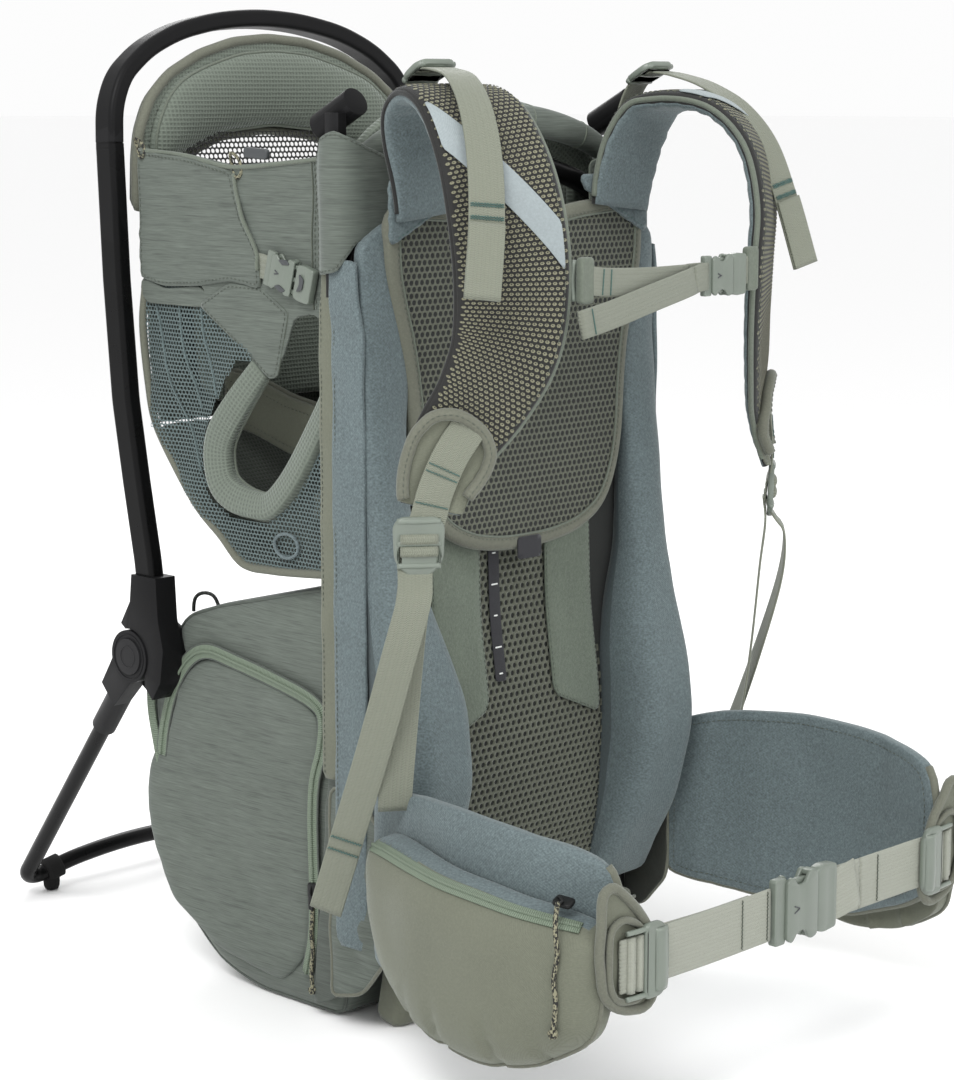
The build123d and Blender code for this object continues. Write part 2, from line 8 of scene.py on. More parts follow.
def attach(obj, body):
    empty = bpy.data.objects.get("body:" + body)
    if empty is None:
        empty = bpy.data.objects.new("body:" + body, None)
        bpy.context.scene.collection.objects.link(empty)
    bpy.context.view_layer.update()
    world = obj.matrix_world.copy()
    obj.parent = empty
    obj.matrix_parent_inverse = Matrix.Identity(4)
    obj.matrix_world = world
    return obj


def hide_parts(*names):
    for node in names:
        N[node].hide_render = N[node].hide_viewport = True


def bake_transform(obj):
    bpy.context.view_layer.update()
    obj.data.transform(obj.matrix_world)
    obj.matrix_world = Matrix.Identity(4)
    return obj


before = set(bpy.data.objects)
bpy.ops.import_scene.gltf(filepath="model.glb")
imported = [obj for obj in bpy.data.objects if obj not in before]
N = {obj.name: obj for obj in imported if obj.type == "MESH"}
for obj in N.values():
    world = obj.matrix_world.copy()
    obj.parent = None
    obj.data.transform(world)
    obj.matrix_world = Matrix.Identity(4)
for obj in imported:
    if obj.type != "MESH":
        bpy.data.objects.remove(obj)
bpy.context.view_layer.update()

sc = bpy.context.scene

# ============================================================ camera, light, floor
cam = bpy.data.cameras.new("camera")
cam.lens, cam.sensor_width = 90, 36
camo = bpy.data.objects.new("camera", cam)
sc.collection.objects.link(camo)
camo.location = (-1.47733897, -1.50592423, 0.69)
camo.rotation_mode = "QUATERNION"
camo.rotation_quaternion = Vector((0.7108, 0.6840, -0.1640)).to_track_quat("-Z", "Y")
sc.camera = camo
sc.view_settings.view_transform = "Standard"


def area(name, loc, target, size, power, color=(1, 1, 1)):
    l = bpy.data.lights.new(name, "AREA")
    l.energy, l.size, l.color = power, size, color
    o = bpy.data.objects.new(name, l)
    o.location = loc
    o.rotation_mode = "QUATERNION"
    o.rotation_quaternion = (Vector(target) - Vector(loc)).to_track_quat("-Z", "Y")
    sc.collection.objects.link(o)


area("key", (-1.9, -0.9, 2.5), (0, 0, 0.35), 1.2, 52)
area("front", (0.3, -2.8, 1.6), (0, -0.1, 0.35), 1.6, 22)
area("rim", (1.6, 1.8, 1.9), (0, 0, 0.4), 1.4, 24)
w = bpy.data.worlds.new("studio")
w.use_nodes = True
w.node_tree.nodes["Background"].inputs[0].default_value = (1, 1, 1, 1)
w.node_tree.nodes["Background"].inputs[1].default_value = 0.98
sc.world = w

# ============================================================ materials


class G:
    """Small helper for building a node material."""

    def __init__(s, name, rough=0.8):
        s.m = bpy.data.materials.new(name)
        s.m.use_nodes = True
        s.nt = s.m.node_tree
        s.nt.nodes.clear()
        s.out = s.n("OutputMaterial")
        s.b = s.n("BsdfPrincipled")
        s.link(s.b.outputs[0], s.out.inputs[0])
        s.put(s.b.inputs["Roughness"], rough)
        s.normal = None

    def n(s, kind, **kw):
        x = s.nt.nodes.new("ShaderNode" + kind)
        for k, v in kw.items():
            setattr(x, k, v)
        return x

    def link(s, a, b):
        s.nt.links.new(a, b)

    def put(s, inp, val):
        if isinstance(val, bpy.types.NodeSocket):
            s.link(val, inp)
        elif hasattr(val, "__len__") and len(val) == 3 and inp.type == "RGBA":
            inp.default_value = (*val, 1)
        else:
            inp.default_value = val

    def ma(s, op, a, b=0.0, c=None):
        x = s.n("Math", operation=op)
        s.put(x.inputs[0], a)
        s.put(x.inputs[1], b)
        if c is not None:
            s.put(x.inputs[2], c)
        return x.outputs[0]

    def co(s, kind="Object", k=(1, 1, 1)):
        t = s.n("TexCoord")
        x = s.n("VectorMath", operation="MULTIPLY")
        s.link(t.outputs[kind], x.inputs[0])
        x.inputs[1].default_value = k
        return x.outputs[0]

    def noise(s, vec, scale=1.0, detail=3, rough=0.55):
        x = s.n("TexNoise")
        s.link(vec, x.inputs["Vector"])
        x.inputs["Scale"].default_value = scale
        x.inputs["Detail"].default_value = detail
        x.inputs["Roughness"].default_value = rough
        return x.outputs[0]

    def xyz(s, vec):
        x = s.n("SeparateXYZ")
        s.link(vec, x.inputs[0])
        return x.outputs

    def ramp(s, fac, stops):
        x = s.n("ValToRGB")
        s.put(x.inputs[0], fac)
        e = x.color_ramp.elements
        while len(e) < len(stops):
            e.new(0.5)
        for el, (p, c) in zip(e, stops):
            el.position = p
            el.color = (*c, 1) if hasattr(c, "__len__") else (c, c, c, 1)
        return x.outputs[0]

    def mix(s, fac, a, b, mode="MIX"):
        x = s.n("Mix", data_type="RGBA", blend_type=mode)
        s.put(x.inputs[0], fac)
        s.put(x.inputs[6], a)
        s.put(x.inputs[7], b)
        return x.outputs[2]

    def bump(s, h, strength=0.3, dist=0.001):
        x = s.n("Bump")
        x.inputs["Strength"].default_value = strength
        x.inputs["Distance"].default_value = dist
        s.put(x.inputs["Height"], h)
        if s.normal is not None:
            s.link(s.normal, x.inputs["Normal"])
        s.normal = x.outputs[0]
        s.link(s.normal, s.b.inputs["Normal"])

    def wave(s, c, pitch, phase=0.0):
        """|sin| ridge along coordinate c, one ridge each pitch (same units as c)."""
        return s.ma("ABSOLUTE", s.ma("SINE", s.ma("MULTIPLY_ADD", c, math.pi / pitch, phase)))

    def sheen(s, wgt=0.25, rough=0.4, tint=(0.8, 0.85, 0.85)):
        s.b.inputs["Sheen Weight"].default_value = wgt
        s.b.inputs["Sheen Roughness"].default_value = rough
        s.b.inputs["Sheen Tint"].default_value = (*tint, 1)

    def color(s, c):
        s.put(s.b.inputs["Base Color"], c)


def lin(r, g, b):
    f = lambda v: (v / 255 / 12.92) if v / 255 <= 0.04045 else ((v / 255 + 0.055) / 1.055) ** 2.4
    return (f(r), f(g), f(b))


def tinted(c, k):
    return tuple(min(1, x * k) for x in c)


def m_heather(name, base):
    g = G(name, 0.85)
    slub = g.noise(g.co("Object", (22, 22, 820)), 1.0, 2, 0.6)
    slub2 = g.noise(g.co("Object", (60, 60, 1900)), 1.0, 2, 0.6)
    big = g.noise(g.co("Object", (9, 9, 14)), 1.0, 2)
    c = g.ramp(slub, [(0.30, tinted(base, 0.36)), (0.44, tinted(base, 0.80)), (0.60, base), (0.78, tinted(base, 1.45))])
    c = g.mix(0.42, c, g.ramp(slub2, [(0.35, tinted(base, 0.45)), (0.65, tinted(base, 1.4))]))
    c = g.mix(0.3, c, g.ramp(big, [(0.3, tinted(base, 0.85)), (0.7, tinted(base, 1.12))]))
    g.color(c)
    g.bump(slub2, 0.35, 0.0006)
    g.sheen(0.2)
    return g.m


def m_twill(name, base, pitch=0.0017, amount=0.5, var=1.0):
    g = G(name, 0.85)
    o = g.xyz(g.co("Object"))
    d1 = g.wave(g.ma("ADD", g.ma("ADD", o[0], o[2]), o[1]), pitch)
    d2 = g.wave(g.ma("SUBTRACT", g.ma("ADD", o[0], o[1]), o[2]), pitch)
    weave = g.ma("MULTIPLY", d1, d2)
    sp = g.noise(g.co("Object", (560, 560, 560)), 1.0, 2, 0.7)
    big = g.noise(g.co("Object", (16, 16, 16)), 1.0, 3)
    c = g.ramp(sp, [(0.30, tinted(base, 1 - 0.40 * amount * var)), (0.5, base), (0.72, tinted(base, 1 + 0.55 * amount * var))])
    # weave ridges lighter, grooves darker: painted highlight and painted shade following the bump
    c = g.mix(0.4, c, g.ramp(weave, [(0.0, tinted(base, 0.72)), (0.6, tinted(base, 1.12))]))
    c = g.mix(0.25, c, g.ramp(big, [(0.3, tinted(base, 0.82)), (0.7, tinted(base, 1.15))]))
    g.color(c)
    g.bump(weave, 0.3, 0.0005)
    g.bump(big, 0.25, 0.002)
    g.sheen(0.25)
    return g.m


def m_waffle(name, base, pitch=3.3):
    g = G(name, 0.88)
    u = g.xyz(g.co("UV"))
    h = g.ma("MULTIPLY", g.wave(u[0], pitch), g.wave(u[1], pitch))
    sp = g.noise(g.co("Object", (700, 700, 700)), 1.0, 2)
    # raised grid lighter, recesses darker: painted highlight and painted shade following the bump
    c = g.ramp(h, [(0.0, tinted(base, 1.12)), (0.45, base), (0.95, tinted(base, 0.66))])
    c = g.mix(0.25, c, g.ramp(sp, [(0.3, tinted(base, 0.8)), (0.7, tinted(base, 1.2))]))
    g.color(c)
    g.bump(g.ma("SUBTRACT", 1.0, h), 0.55, 0.0012)
    g.sheen(0.3)
    return g.m


def m_web(name, base, pitch=2.4, stripes=True):
    g = G(name, 0.6)
    u = g.xyz(g.co("UV"))
    zig = g.ma("PINGPONG", u[0], 2.6)
    ribs = g.wave(g.ma("ADD", u[1], g.ma("MULTIPLY", zig, 0.35)), pitch / 2)
    ln = g.wave(u[0], 2.6)
    sp = g.noise(g.co("UV", (1.4, 0.5, 1)), 1.0, 2)
    # ribs and lengthwise lines lighter on crests, darker in grooves: painted highlight and painted shade following the
    # bump
    c = g.ramp(ribs, [(0.0, tinted(base, 0.62)), (0.45, base), (1.0, tinted(base, 1.12))])
    c = g.mix(0.35 if stripes else 0.1, c, g.ramp(ln, [(0.0, tinted(base, 0.72)), (0.4, tinted(base, 1.1))]))
    c = g.mix(0.25, c, g.ramp(sp, [(0.3, tinted(base, 0.85)), (0.7, tinted(base, 1.12))]))
    g.color(c)
    g.bump(ribs, 0.6, 0.0008)
    g.bump(ln, 0.25, 0.0004)
    g.sheen(0.15)
    return g.m


def m_plastic(name, base, rough=0.4, grain=0.15, coat=0.0, edge=1.25):
    g = G(name, rough)
    sp = g.noise(g.co("Object", (2600, 2600, 2600)), 1.0, 2)
    big = g.noise(g.co("Object", (35, 35, 35)), 1.0, 3)
    c = g.mix(0.5, base, g.ramp(big, [(0.3, tinted(base, 0.88)), (0.7, tinted(base, 1.12))]))
    # painted highlight: convex edges (high pointiness) are lightened by the factor edge
    geo = g.n("NewGeometry")
    edge_highlight = g.ma("GREATER_THAN", geo.outputs["Pointiness"], 0.56)
    c = g.mix(g.ma("MULTIPLY", edge_highlight, 0.5), c, tinted(base, edge))
    g.color(c)
    g.put(g.b.inputs["Roughness"], g.ma("MULTIPLY_ADD", big, 0.22, rough - 0.1))
    g.bump(sp, grain, 0.0002)
    g.b.inputs["Coat Weight"].default_value = coat
    g.b.inputs["Coat Roughness"].default_value = 0.25
    return g.m


def m_speckle(name, a, b, scale=900, rough=0.8):
    g = G(name, rough)
    u = g.xyz(g.co("UV"))
    v = g.n("TexVoronoi")
    g.link(g.co("Object", (1, 1, 0.6)), v.inputs["Vector"])
    v.inputs["Scale"].default_value = scale
    c = g.ramp(v.outputs["Color"], [(0.45, a), (0.55, b)])
    g.color(c)
    g.bump(v.outputs["Distance"], 0.5, 0.0006)
    return g.m


def m_fuzzy(name, base):
    g = G(name, 0.95)
    sp = g.noise(g.co("Object", (420, 420, 420)), 1.0, 5, 0.75)
    big = g.noise(g.co("Object", (55, 55, 30)), 1.0, 3)
    c = g.ramp(sp, [(0.3, tinted(base, 0.66)), (0.5, base), (0.7, tinted(base, 1.35))])
    c = g.mix(0.3, c, g.ramp(big, [(0.3, tinted(base, 0.75)), (0.7, tinted(base, 1.2))]))
    g.color(c)
    g.bump(sp, 0.6, 0.0010)
    g.sheen(0.5, 0.5)
    return g.m


def m_zip(name, base):
    g = G(name, 0.6)
    u = g.xyz(g.co("UV"))
    teeth = g.wave(u[1], 1.5)
    # teeth lighter on top, darker between them: painted highlight and painted shade following the bump
    c = g.ramp(teeth, [(0.0, tinted(base, 0.55)), (0.5, base), (1.0, tinted(base, 1.15))])
    sp = g.noise(g.co("UV", (1, 1, 1)), 0.8, 2)
    c = g.mix(0.2, c, g.ramp(sp, [(0.3, tinted(base, 0.8)), (0.7, tinted(base, 1.2))]))
    g.color(c)
    g.bump(teeth, 0.7, 0.0008)
    return g.m


SAGE = lin(101, 109, 99)
HEA = lin(90, 97, 90)
BLUE = lin(90, 102, 104)
# darker blue for faces turned in between parts: painted shade
BLUE_IN_SHADE = lin(72, 82, 84)
KHAKI = lin(100, 103, 89)
KHAKI_D = lin(88, 90, 79)
M = dict(
    heather=m_heather("heather_fabric", HEA),
    # darker heather copy (0.72): painted shade on inner and hidden faces, and dark seam lines
    heather_shade_seam=m_heather("heather_fabric_shade_and_seams", tinted(HEA, 0.72)),
    blue=m_twill("blue_fabric", BLUE, 0.0023, 1.5),
    blue_shaded=m_twill("blue_fabric_painted_shade", BLUE_IN_SHADE, amount=0.7),
    bluemesh=m_twill("blue_mesh", lin(92, 106, 106), 0.0011, 0.6),
    waffle=m_waffle("sage_waffle", SAGE),
    # darker sage copy (0.42) for the compartment's inner and hidden faces: painted shade
    waffle_shaded=m_waffle("sage_waffle_painted_shade", tinted(SAGE, 0.42)),
    khaki=m_twill("khaki_fabric", KHAKI, 0.0011, 0.35),
    khaki_m=m_twill("khaki_mesh", lin(88, 91, 79), 0.0008, 0.5),
    bind=m_twill("khaki_binding", lin(98, 100, 88), 0.0009, 0.5),
    bind_s=m_twill("sage_binding", lin(96, 103, 92), 0.0009, 0.5),
    dark=m_twill("dark_foam", lin(30, 32, 30), 0.0012, 0.6),
    # dark khaki for inner and back faces: painted shade
    khaki_shaded=m_twill("khaki_fabric_painted_shade", lin(44, 46, 40), 0.0012, 0.6),
    black_m=m_twill("black_net_base", lin(28, 28, 27), 0.0010, 0.7),
    net=m_twill("khaki_net", lin(120, 119, 99), 0.0008, 0.5),
    web=m_web("webbing", lin(118, 122, 108)),
    web_w=m_web("hip_webbing", lin(146, 149, 137), 2.0),
    web_e=m_web("elastic_rail", lin(120, 124, 111), 1.6),
    zip=m_zip("zip_green", lin(108, 121, 104)),
    loop=m_fuzzy("dark_panel", lin(88, 97, 84)),
    label=m_twill("label_black", lin(38, 38, 42), 0.0008, 0.3),
    tick=m_plastic("label_mark", lin(205, 208, 205), 0.6, 0.05),
    refl=m_twill("reflective_patch", lin(140, 149, 151), 0.0007, 0.35),
    teal=m_twill("teal_thread", lin(62, 92, 86), 0.0005, 0.6),
    thread=m_twill("sage_thread", lin(78, 84, 74), 0.0005, 0.6),
    # black tube and moulding take the stronger painted edge highlight (edge 2.0)
    black=m_plastic("black_tube", (0.004, 0.004, 0.0042), 0.28, 0.06, 0.06, 2.0),
    mould=m_plastic("black_moulding", (0.008, 0.008, 0.0085), 0.42, 0.25, 0.0, 2.0),
    button=m_plastic("button_plastic", (0.022, 0.022, 0.023), 0.5, 0.25),
    steel=m_plastic("steel_axle", (0.45, 0.45, 0.45), 0.3, 0.05),
    rubber=m_plastic("foot_rubber", (0.012, 0.012, 0.012), 0.75, 0.5),
    green=m_plastic("buckle_green", lin(104, 112, 103), 0.36, 0.12, 0.15),
    grey=m_plastic("buckle_dark", lin(58, 61, 63), 0.42, 0.12, 0.05),
    slider=m_plastic("slider_black", lin(30, 31, 31), 0.35, 0.1, 0.1),
    cord=m_speckle("speckled_cord", lin(24, 25, 24), lin(128, 126, 104), 1100),
    elastic=m_speckle("black_elastic", lin(22, 24, 24), lin(52, 56, 52), 1200),
)
for k_ in ("black", "mould", "button", "rubber", "slider"):
    M[k_].node_tree.nodes["Principled BSDF"].inputs["Specular IOR Level"].default_value = 0.1
M["steel"].node_tree.nodes["Principled BSDF"].inputs["Metallic"].default_value = 1.0

# ============================================================ geometry helpers (millimetres, row frame)


def nrm(a):
    return a / (np.linalg.norm(a, axis=-1, keepdims=True) + 1e-12)


def cat(P, n_per=8, closed=False):
    P = np.asarray(P, float)
    out, k = [], len(P)
    for i in range(k if closed else k - 1):
        p0 = P[(i - 1) % k] if closed or i > 0 else 2 * P[0] - P[1]
        p1, p2 = P[i], P[(i + 1) % k]
        p3 = P[(i + 2) % k] if closed or i + 2 < k else 2 * P[-1] - P[-2]
        for j in range(n_per):
            t = j / n_per
            out.append(0.5 * (2 * p1 + (p2 - p0) * t + (2 * p0 - 5 * p1 + 4 * p2 - p3) * t * t + (3 * p1 - p0 - 3 * p2 + p3) * t ** 3))
    if not closed:
        out.append(P[-1])
    return np.array(out)


def respace(Mx, step, closed=False, key=3):
    Q = np.vstack([Mx, Mx[:1]]) if closed else np.asarray(Mx, float)
    s = np.r_[0, np.cumsum(np.linalg.norm(np.diff(Q[:, :key], axis=0), axis=1))]
    n = max(2, int(round(s[-1] / step)))
    t = np.linspace(0, s[-1], n + 1)
    R = np.stack([np.interp(t, s, Q[:, k]) for k in range(Q.shape[1])], 1)
    return R[:-1] if closed else R


def rounded(poly, r, n=4):
    """Closed 2-D outline with its corners rounded to about radius r."""
    P = np.asarray(poly, float)
    out = []
    for i in range(len(P)):
        a, b, c = P[i - 1], P[i], P[(i + 1) % len(P)]
        da, dc = a - b, c - b
        la, lc = np.linalg.norm(da), np.linalg.norm(dc)
        k = min(r, la * 0.48, lc * 0.48)
        s, e = b + da / la * k, b + dc / lc * k
        for j in range(n + 1):
            t = j / n
            out.append((1 - t) ** 2 * s + 2 * t * (1 - t) * b + t * t * e)
    return np.array(out)


def inside(poly, u, v):
    r = np.zeros(u.shape, bool)
    x0, y0 = poly[-1]
    for x1, y1 in poly:
        hit = ((y1 > v) != (y0 > v)) & (u < (x0 - x1) * (v - y1) / (y0 - y1 + 1e-15) + x1)
        r ^= hit
        x0, y0 = x1, y1
    return r


def dist(poly, pts):
    a, b = poly, np.roll(poly, -1, axis=0)
    d = b - a
    l2 = (d * d).sum(1) + 1e-12
    best = np.full(len(pts), 1e9)
    for i in range(len(a)):
        t = np.clip(((pts - a[i]) @ d[i]) / l2[i], 0, 1)
        best = np.minimum(best, np.linalg.norm(pts - a[i] - t[:, None] * d[i], axis=1))
    return best


def wr(u, v, seed=0, f=1.0):
    """Smooth repeatable wrinkle field, about -1 to 1."""
    rng = np.random.RandomState(seed)
    s = 0
    for k in range(7):
        a, p = rng.uniform(0, 6.283, 2)
        q = f * rng.uniform(0.03, 0.12)
        s = s + np.sin(q * (u * math.cos(a) + v * math.sin(a)) + p + 1.3 * np.sin(q * 0.6 * (v * math.cos(a) - u * math.sin(a)) + p * 2))
    return s / 4.0


class B:
    """Collects geometry and makes one object of it."""

    def __init__(s):
        s.V, s.F, s.K, s.U, s.n, s.mats, s.sm = [], [], [], [], 0, [], []

    def add(s, geo, mat, smooth=True):
        V, F, U = geo
        if len(V) == 0:
            return s
        if mat not in s.mats:
            s.mats.append(mat)
        k = s.mats.index(mat)
        s.V.append(np.asarray(V, float))
        s.U.append(np.asarray(U, float))
        s.F += [tuple(int(i) + s.n for i in f) for f in F]
        s.K += [k] * len(F)
        s.sm += [smooth] * len(F)
        s.n += len(V)
        return s

    def mirror(s):
        V, U = np.vstack(s.V) * [-1, 1, 1], np.vstack(s.U)
        F, n = [tuple(i + s.n for i in reversed(f)) for f in s.F], s.n
        s.V.append(V)
        s.U.append(U)
        s.F += F
        s.K += list(s.K)
        s.sm += list(s.sm)
        s.n += n
        return s

    def make(s, name, body, slot, *nodes, sign=1, fix=True):
        V = np.vstack(s.V) * [sign, 1, 1] * 0.001
        U = np.vstack(s.U)
        me = bpy.data.meshes.new(name)
        me.from_pydata(V.tolist(), [], s.F)
        me.polygons.foreach_set("material_index", s.K)
        me.polygons.foreach_set("use_smooth", s.sm)
        for k in s.mats:
            me.materials.append(M[k])
        uv = me.uv_layers.new(name="UVMap")
        li = np.zeros(len(me.loops), np.int32)
        me.loops.foreach_get("vertex_index", li)
        uv.data.foreach_set("uv", U[li].astype(np.float32).ravel())
        if fix or sign < 0:
            bm = bmesh.new()
            bm.from_mesh(me)
            bmesh.ops.recalc_face_normals(bm, faces=bm.faces)
            bm.to_mesh(me)
            bm.free()
        me.validate()
        o = bpy.data.objects.new(name, me)
        sc.collection.objects.link(o)
        if body:
            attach(o, body)
        if nodes:
            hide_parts(*nodes)
        return o


def g_tube(P, r, seg=8, closed=False, flat=1.0, step=None):
    P = np.asarray(P, float)
    if step:
        P = respace(P, step, closed)
    n = len(P)
    t = nrm(np.roll(P, -1, 0) - np.roll(P, 1, 0)) if closed else nrm(np.gradient(P, axis=0))
    x = np.zeros_like(P)
    a = np.array([0, 0, 1.0]) if abs(t[0][2]) < 0.9 else np.array([1.0, 0, 0])
    x[0] = nrm(a - t[0] * (a @ t[0]))
    for i in range(1, n):
        v = x[i - 1] - t[i] * (x[i - 1] @ t[i])
        x[i] = nrm(v)
    y = np.cross(t, x)
    r = np.broadcast_to(np.asarray(r, float), (n,))
    an = np.linspace(0, 2 * math.pi, seg, endpoint=False)
    V = (P[:, None] + x[:, None] * (np.cos(an)[None, :, None] * r[:, None, None]) + y[:, None] * (np.sin(an)[None, :, None] * r[:, None, None] * flat)).reshape(-1, 3)
    L = np.r_[0, np.cumsum(np.linalg.norm(np.diff(P, axis=0), axis=1))]
    U = np.stack([np.tile(an, n) * np.repeat(r, seg), np.repeat(L, seg)], 1)
    F = []
    for i in range(n if closed else n - 1):
        i2 = (i + 1) % n
        for k in range(seg):
            k2 = (k + 1) % seg
            F.append((i * seg + k, i * seg + k2, i2 * seg + k2, i2 * seg + k))
    if not closed:
        F.append(tuple(range(seg))[::-1])
        F.append(tuple((n - 1) * seg + k for k in range(seg)))
    return V, F, U


class Rib:
    """Strap: width dirs D, widths W, thicknesses T along a smooth centreline."""

    def __init__(s, P, W, D, T, step=5, smooth=True, flip=False):
        P = np.asarray(P, float)
        n = len(P)
        W = np.broadcast_to(np.asarray(W, float), (n,))
        T = np.broadcast_to(np.asarray(T, float), (n,))
        D = np.broadcast_to(np.asarray(D, float), (n, 3))
        Mx = np.column_stack([P, W, D, T])
        if smooth and n > 2:
            Mx = cat(Mx, 10)
        Mx = respace(Mx, step)
        s.P, s.W, s.D, s.T = Mx[:, :3], Mx[:, 3], Mx[:, 4:7], Mx[:, 7]
        s.t = nrm(np.gradient(s.P, axis=0))
        s.x = nrm(s.D - (s.D * s.t).sum(1, keepdims=True) * s.t)
        s.n = np.cross(s.t, s.x) * (-1 if flip else 1)
        s.L = np.r_[0, np.cumsum(np.linalg.norm(np.diff(s.P, axis=0), axis=1))]

    def at(s, u, v, lift=0.0, p=4.0, side=1):
        u, v = np.asarray(u, float), np.asarray(v, float)
        I = lambda A: np.stack([np.interp(v, s.L, A[:, k]) for k in range(3)], -1)
        W, T = np.interp(v, s.L, s.W), np.interp(v, s.L, s.T)
        q = np.clip(1 - np.abs(2 * u / W) ** p, 0, 1) ** (1 / p)
        return I(s.P) + I(s.x) * u[..., None] + I(s.n) * (side * (T / 2 * q + lift))[..., None]

    def geo(s, m=16, e=0.35, caps=True):
        an = (np.arange(m) + 0.5) * 2 * math.pi / m
        c, d = np.cos(an), np.sin(an)
        c, d = np.sign(c) * np.abs(c) ** e, np.sign(d) * np.abs(d) ** e
        n = len(s.P)
        V = (s.P[:, None] + s.x[:, None] * (c[None, :, None] * s.W[:, None, None] / 2) + s.n[:, None] * (d[None, :, None] * s.T[:, None, None] / 2)).reshape(-1, 3)
        U = np.stack([(c[None] * s.W[:, None] / 2).ravel(), np.repeat(s.L, m)], 1)
        top, bot = [], []
        for i in range(n - 1):
            for k in range(m):
                k2 = (k + 1) % m
                (top if d[k] + d[k2] > 0 or (abs(d[k] + d[k2]) < 1e-6 and c[k] > 9) else bot).append((i * m + k, i * m + k2, (i + 1) * m + k2, (i + 1) * m + k))
        cp = [tuple(range(m))[::-1], tuple((n - 1) * m + k for k in range(m))] if caps else []
        return V, top, bot + cp, U

    def all(s, m=16, e=0.35):
        V, a, b, U = s.geo(m, e)
        return V, a + b, U


def surf_n(S, u, v, h=0.5):
    du = S(u + h, v) - S(u - h, v)
    dv = S(u, v + h) - S(u, v - h)
    return nrm(np.cross(du, dv))


class Pillow:
    """Crowned padded piece over a 2-D outline laid on surface S(u, v)."""

    def __init__(s, outline, S, T, edge=2.0, R=12.0, h=8.0, bottom=1.0, extra=None, nwall=2, warp=None, power=2.0):
        O = respace(np.asarray(outline, float), h * 0.8, True, 2)
        ar = 0.5 * np.sum(O[:, 0] * np.roll(O[:, 1], -1) - np.roll(O[:, 0], -1) * O[:, 1])
        if ar < 0:
            O = O[::-1]
        s.O, s.S, s.R, s.bottom, s.power = O, S, R, bottom, power
        s.T = T if callable(T) else (lambda u, v: np.full(np.shape(u), float(T)))
        s.edge = edge if callable(edge) else (lambda u, v: np.full(np.shape(u), float(edge)))
        s.extra, s.warp = extra, warp
        lo, hi = O.min(0), O.max(0)
        gu = np.arange(lo[0], hi[0] + h, h)
        gv = np.arange(lo[1], hi[1] + h, h * 0.87)
        pts = np.array([(x + (j % 2) * h / 2, y) for j, y in enumerate(gv) for x in gu])
        t = np.roll(O, -1, 0) - np.roll(O, 1, 0)
        nn = nrm(np.stack([-t[:, 1], t[:, 0]], 1))
        keep, ring_d = [], [d for d in (R * 0.06, R * 0.22, R * 0.5) if d < h * 1.6]
        for d in ring_d:
            q = O + nn * d
            ok = inside(O, q[:, 0], q[:, 1])
            q = q[ok]
            if len(q):
                q = q[dist(O, q) > d * 0.93]
                keep.append(q)
        lim = (max(ring_d) if ring_d else 0) + h * 0.45
        pts = pts[inside(O, pts[:, 0], pts[:, 1])]
        pts = pts[dist(O, pts) > lim]
        allp = np.vstack([O] + keep + [pts])
        m = len(O)
        r = delaunay_2d_cdt([Vector(p) for p in allp], [(i, (i + 1) % m) for i in range(m)], [], 1, 1e-5)
        s.p2 = np.array([(p.x, p.y) for p in r[0]])
        s.tri = [tuple(f) for f in r[2]]
        orig = r[3]
        s.loop = [None] * m
        for i, og in enumerate(orig):
            for k in og:
                if k < m:
                    s.loop[k] = i
        s.loop = [x for x in s.loop if x is not None]
        s.nwall = nwall

    def h(s, u, v):
        pts = np.stack([np.ravel(u), np.ravel(v)], 1)
        d = np.where(inside(s.O, pts[:, 0], pts[:, 1]), dist(s.O, pts), 0).reshape(np.shape(u))
        e = s.edge(u, v) / 2
        k = np.clip(1 - d / s.R, 0, 1)
        return e + (s.T(u, v) / 2 - e) * (1 - k ** s.power) ** (1 / s.power)

    def at(s, u, v, lift=0.0, side=1):
        u, v = np.asarray(u, float), np.asarray(v, float)
        P, n = s.S(u, v), surf_n(s.S, u, v)
        hh = s.h(u, v)
        if side < 0:
            hh = hh * s.bottom
        ex = 0 if s.extra is None else s.extra(u, v)
        out = P + n * (side * (hh + lift) + ex)[..., None]
        return s.warp(out) if s.warp else out

    def geo(s, both=True):
        u, v = s.p2[:, 0], s.p2[:, 1]
        top, bot = s.at(u, v), s.at(u, v, side=-1)
        n = len(u)
        V, U = [top, bot], [s.p2, s.p2]
        F1 = [t for t in s.tri]
        F2 = [tuple(i + n for i in reversed(t)) for t in s.tri]
        W = []
        ring = s.loop
        prev = ring
        base = 2 * n
        m = len(ring)
        for k in range(1, s.nwall):
            a = k / s.nwall
            q = top[ring] * (1 - a) + bot[ring] * a
            V.append(q)
            U.append(s.p2[ring])
            cur = list(range(base, base + m))
            W += [(prev[i], cur[i], cur[(i + 1) % m], prev[(i + 1) % m]) for i in range(m)]
            prev, base = cur, base + m
        cur = [i + n for i in ring]
        W += [(prev[i], cur[i], cur[(i + 1) % m], prev[(i + 1) % m]) for i in range(m)]
        return np.vstack(V), F1, F2, W, np.vstack(U)

    def put(s, b, top, bottom=None, wall=None):
        V, F1, F2, W, U = s.geo()
        n0 = b.n
        b.add((V, F1, U), top)
        for F, mt in ((F2, bottom or top), (W, wall or bottom or top)):
            if mt not in b.mats:
                b.mats.append(mt)
            k = b.mats.index(mt)
            b.F += [tuple(int(i) + n0 for i in f) for f in F]
            b.K += [k] * len(F)
            b.sm += [True] * len(F)
        return s

    def rim(s, inset=0.0, step=6.0, side=1, lift=0.0, part=None):
        """3-D line along the outline, inset towards the middle."""
        O = s.O
        if inset:
            t = np.roll(O, -1, 0) - np.roll(O, 1, 0)
            O = O + nrm(np.stack([-t[:, 1], t[:, 0]], 1)) * inset
        return s.at(O[:, 0], O[:, 1], lift, side)


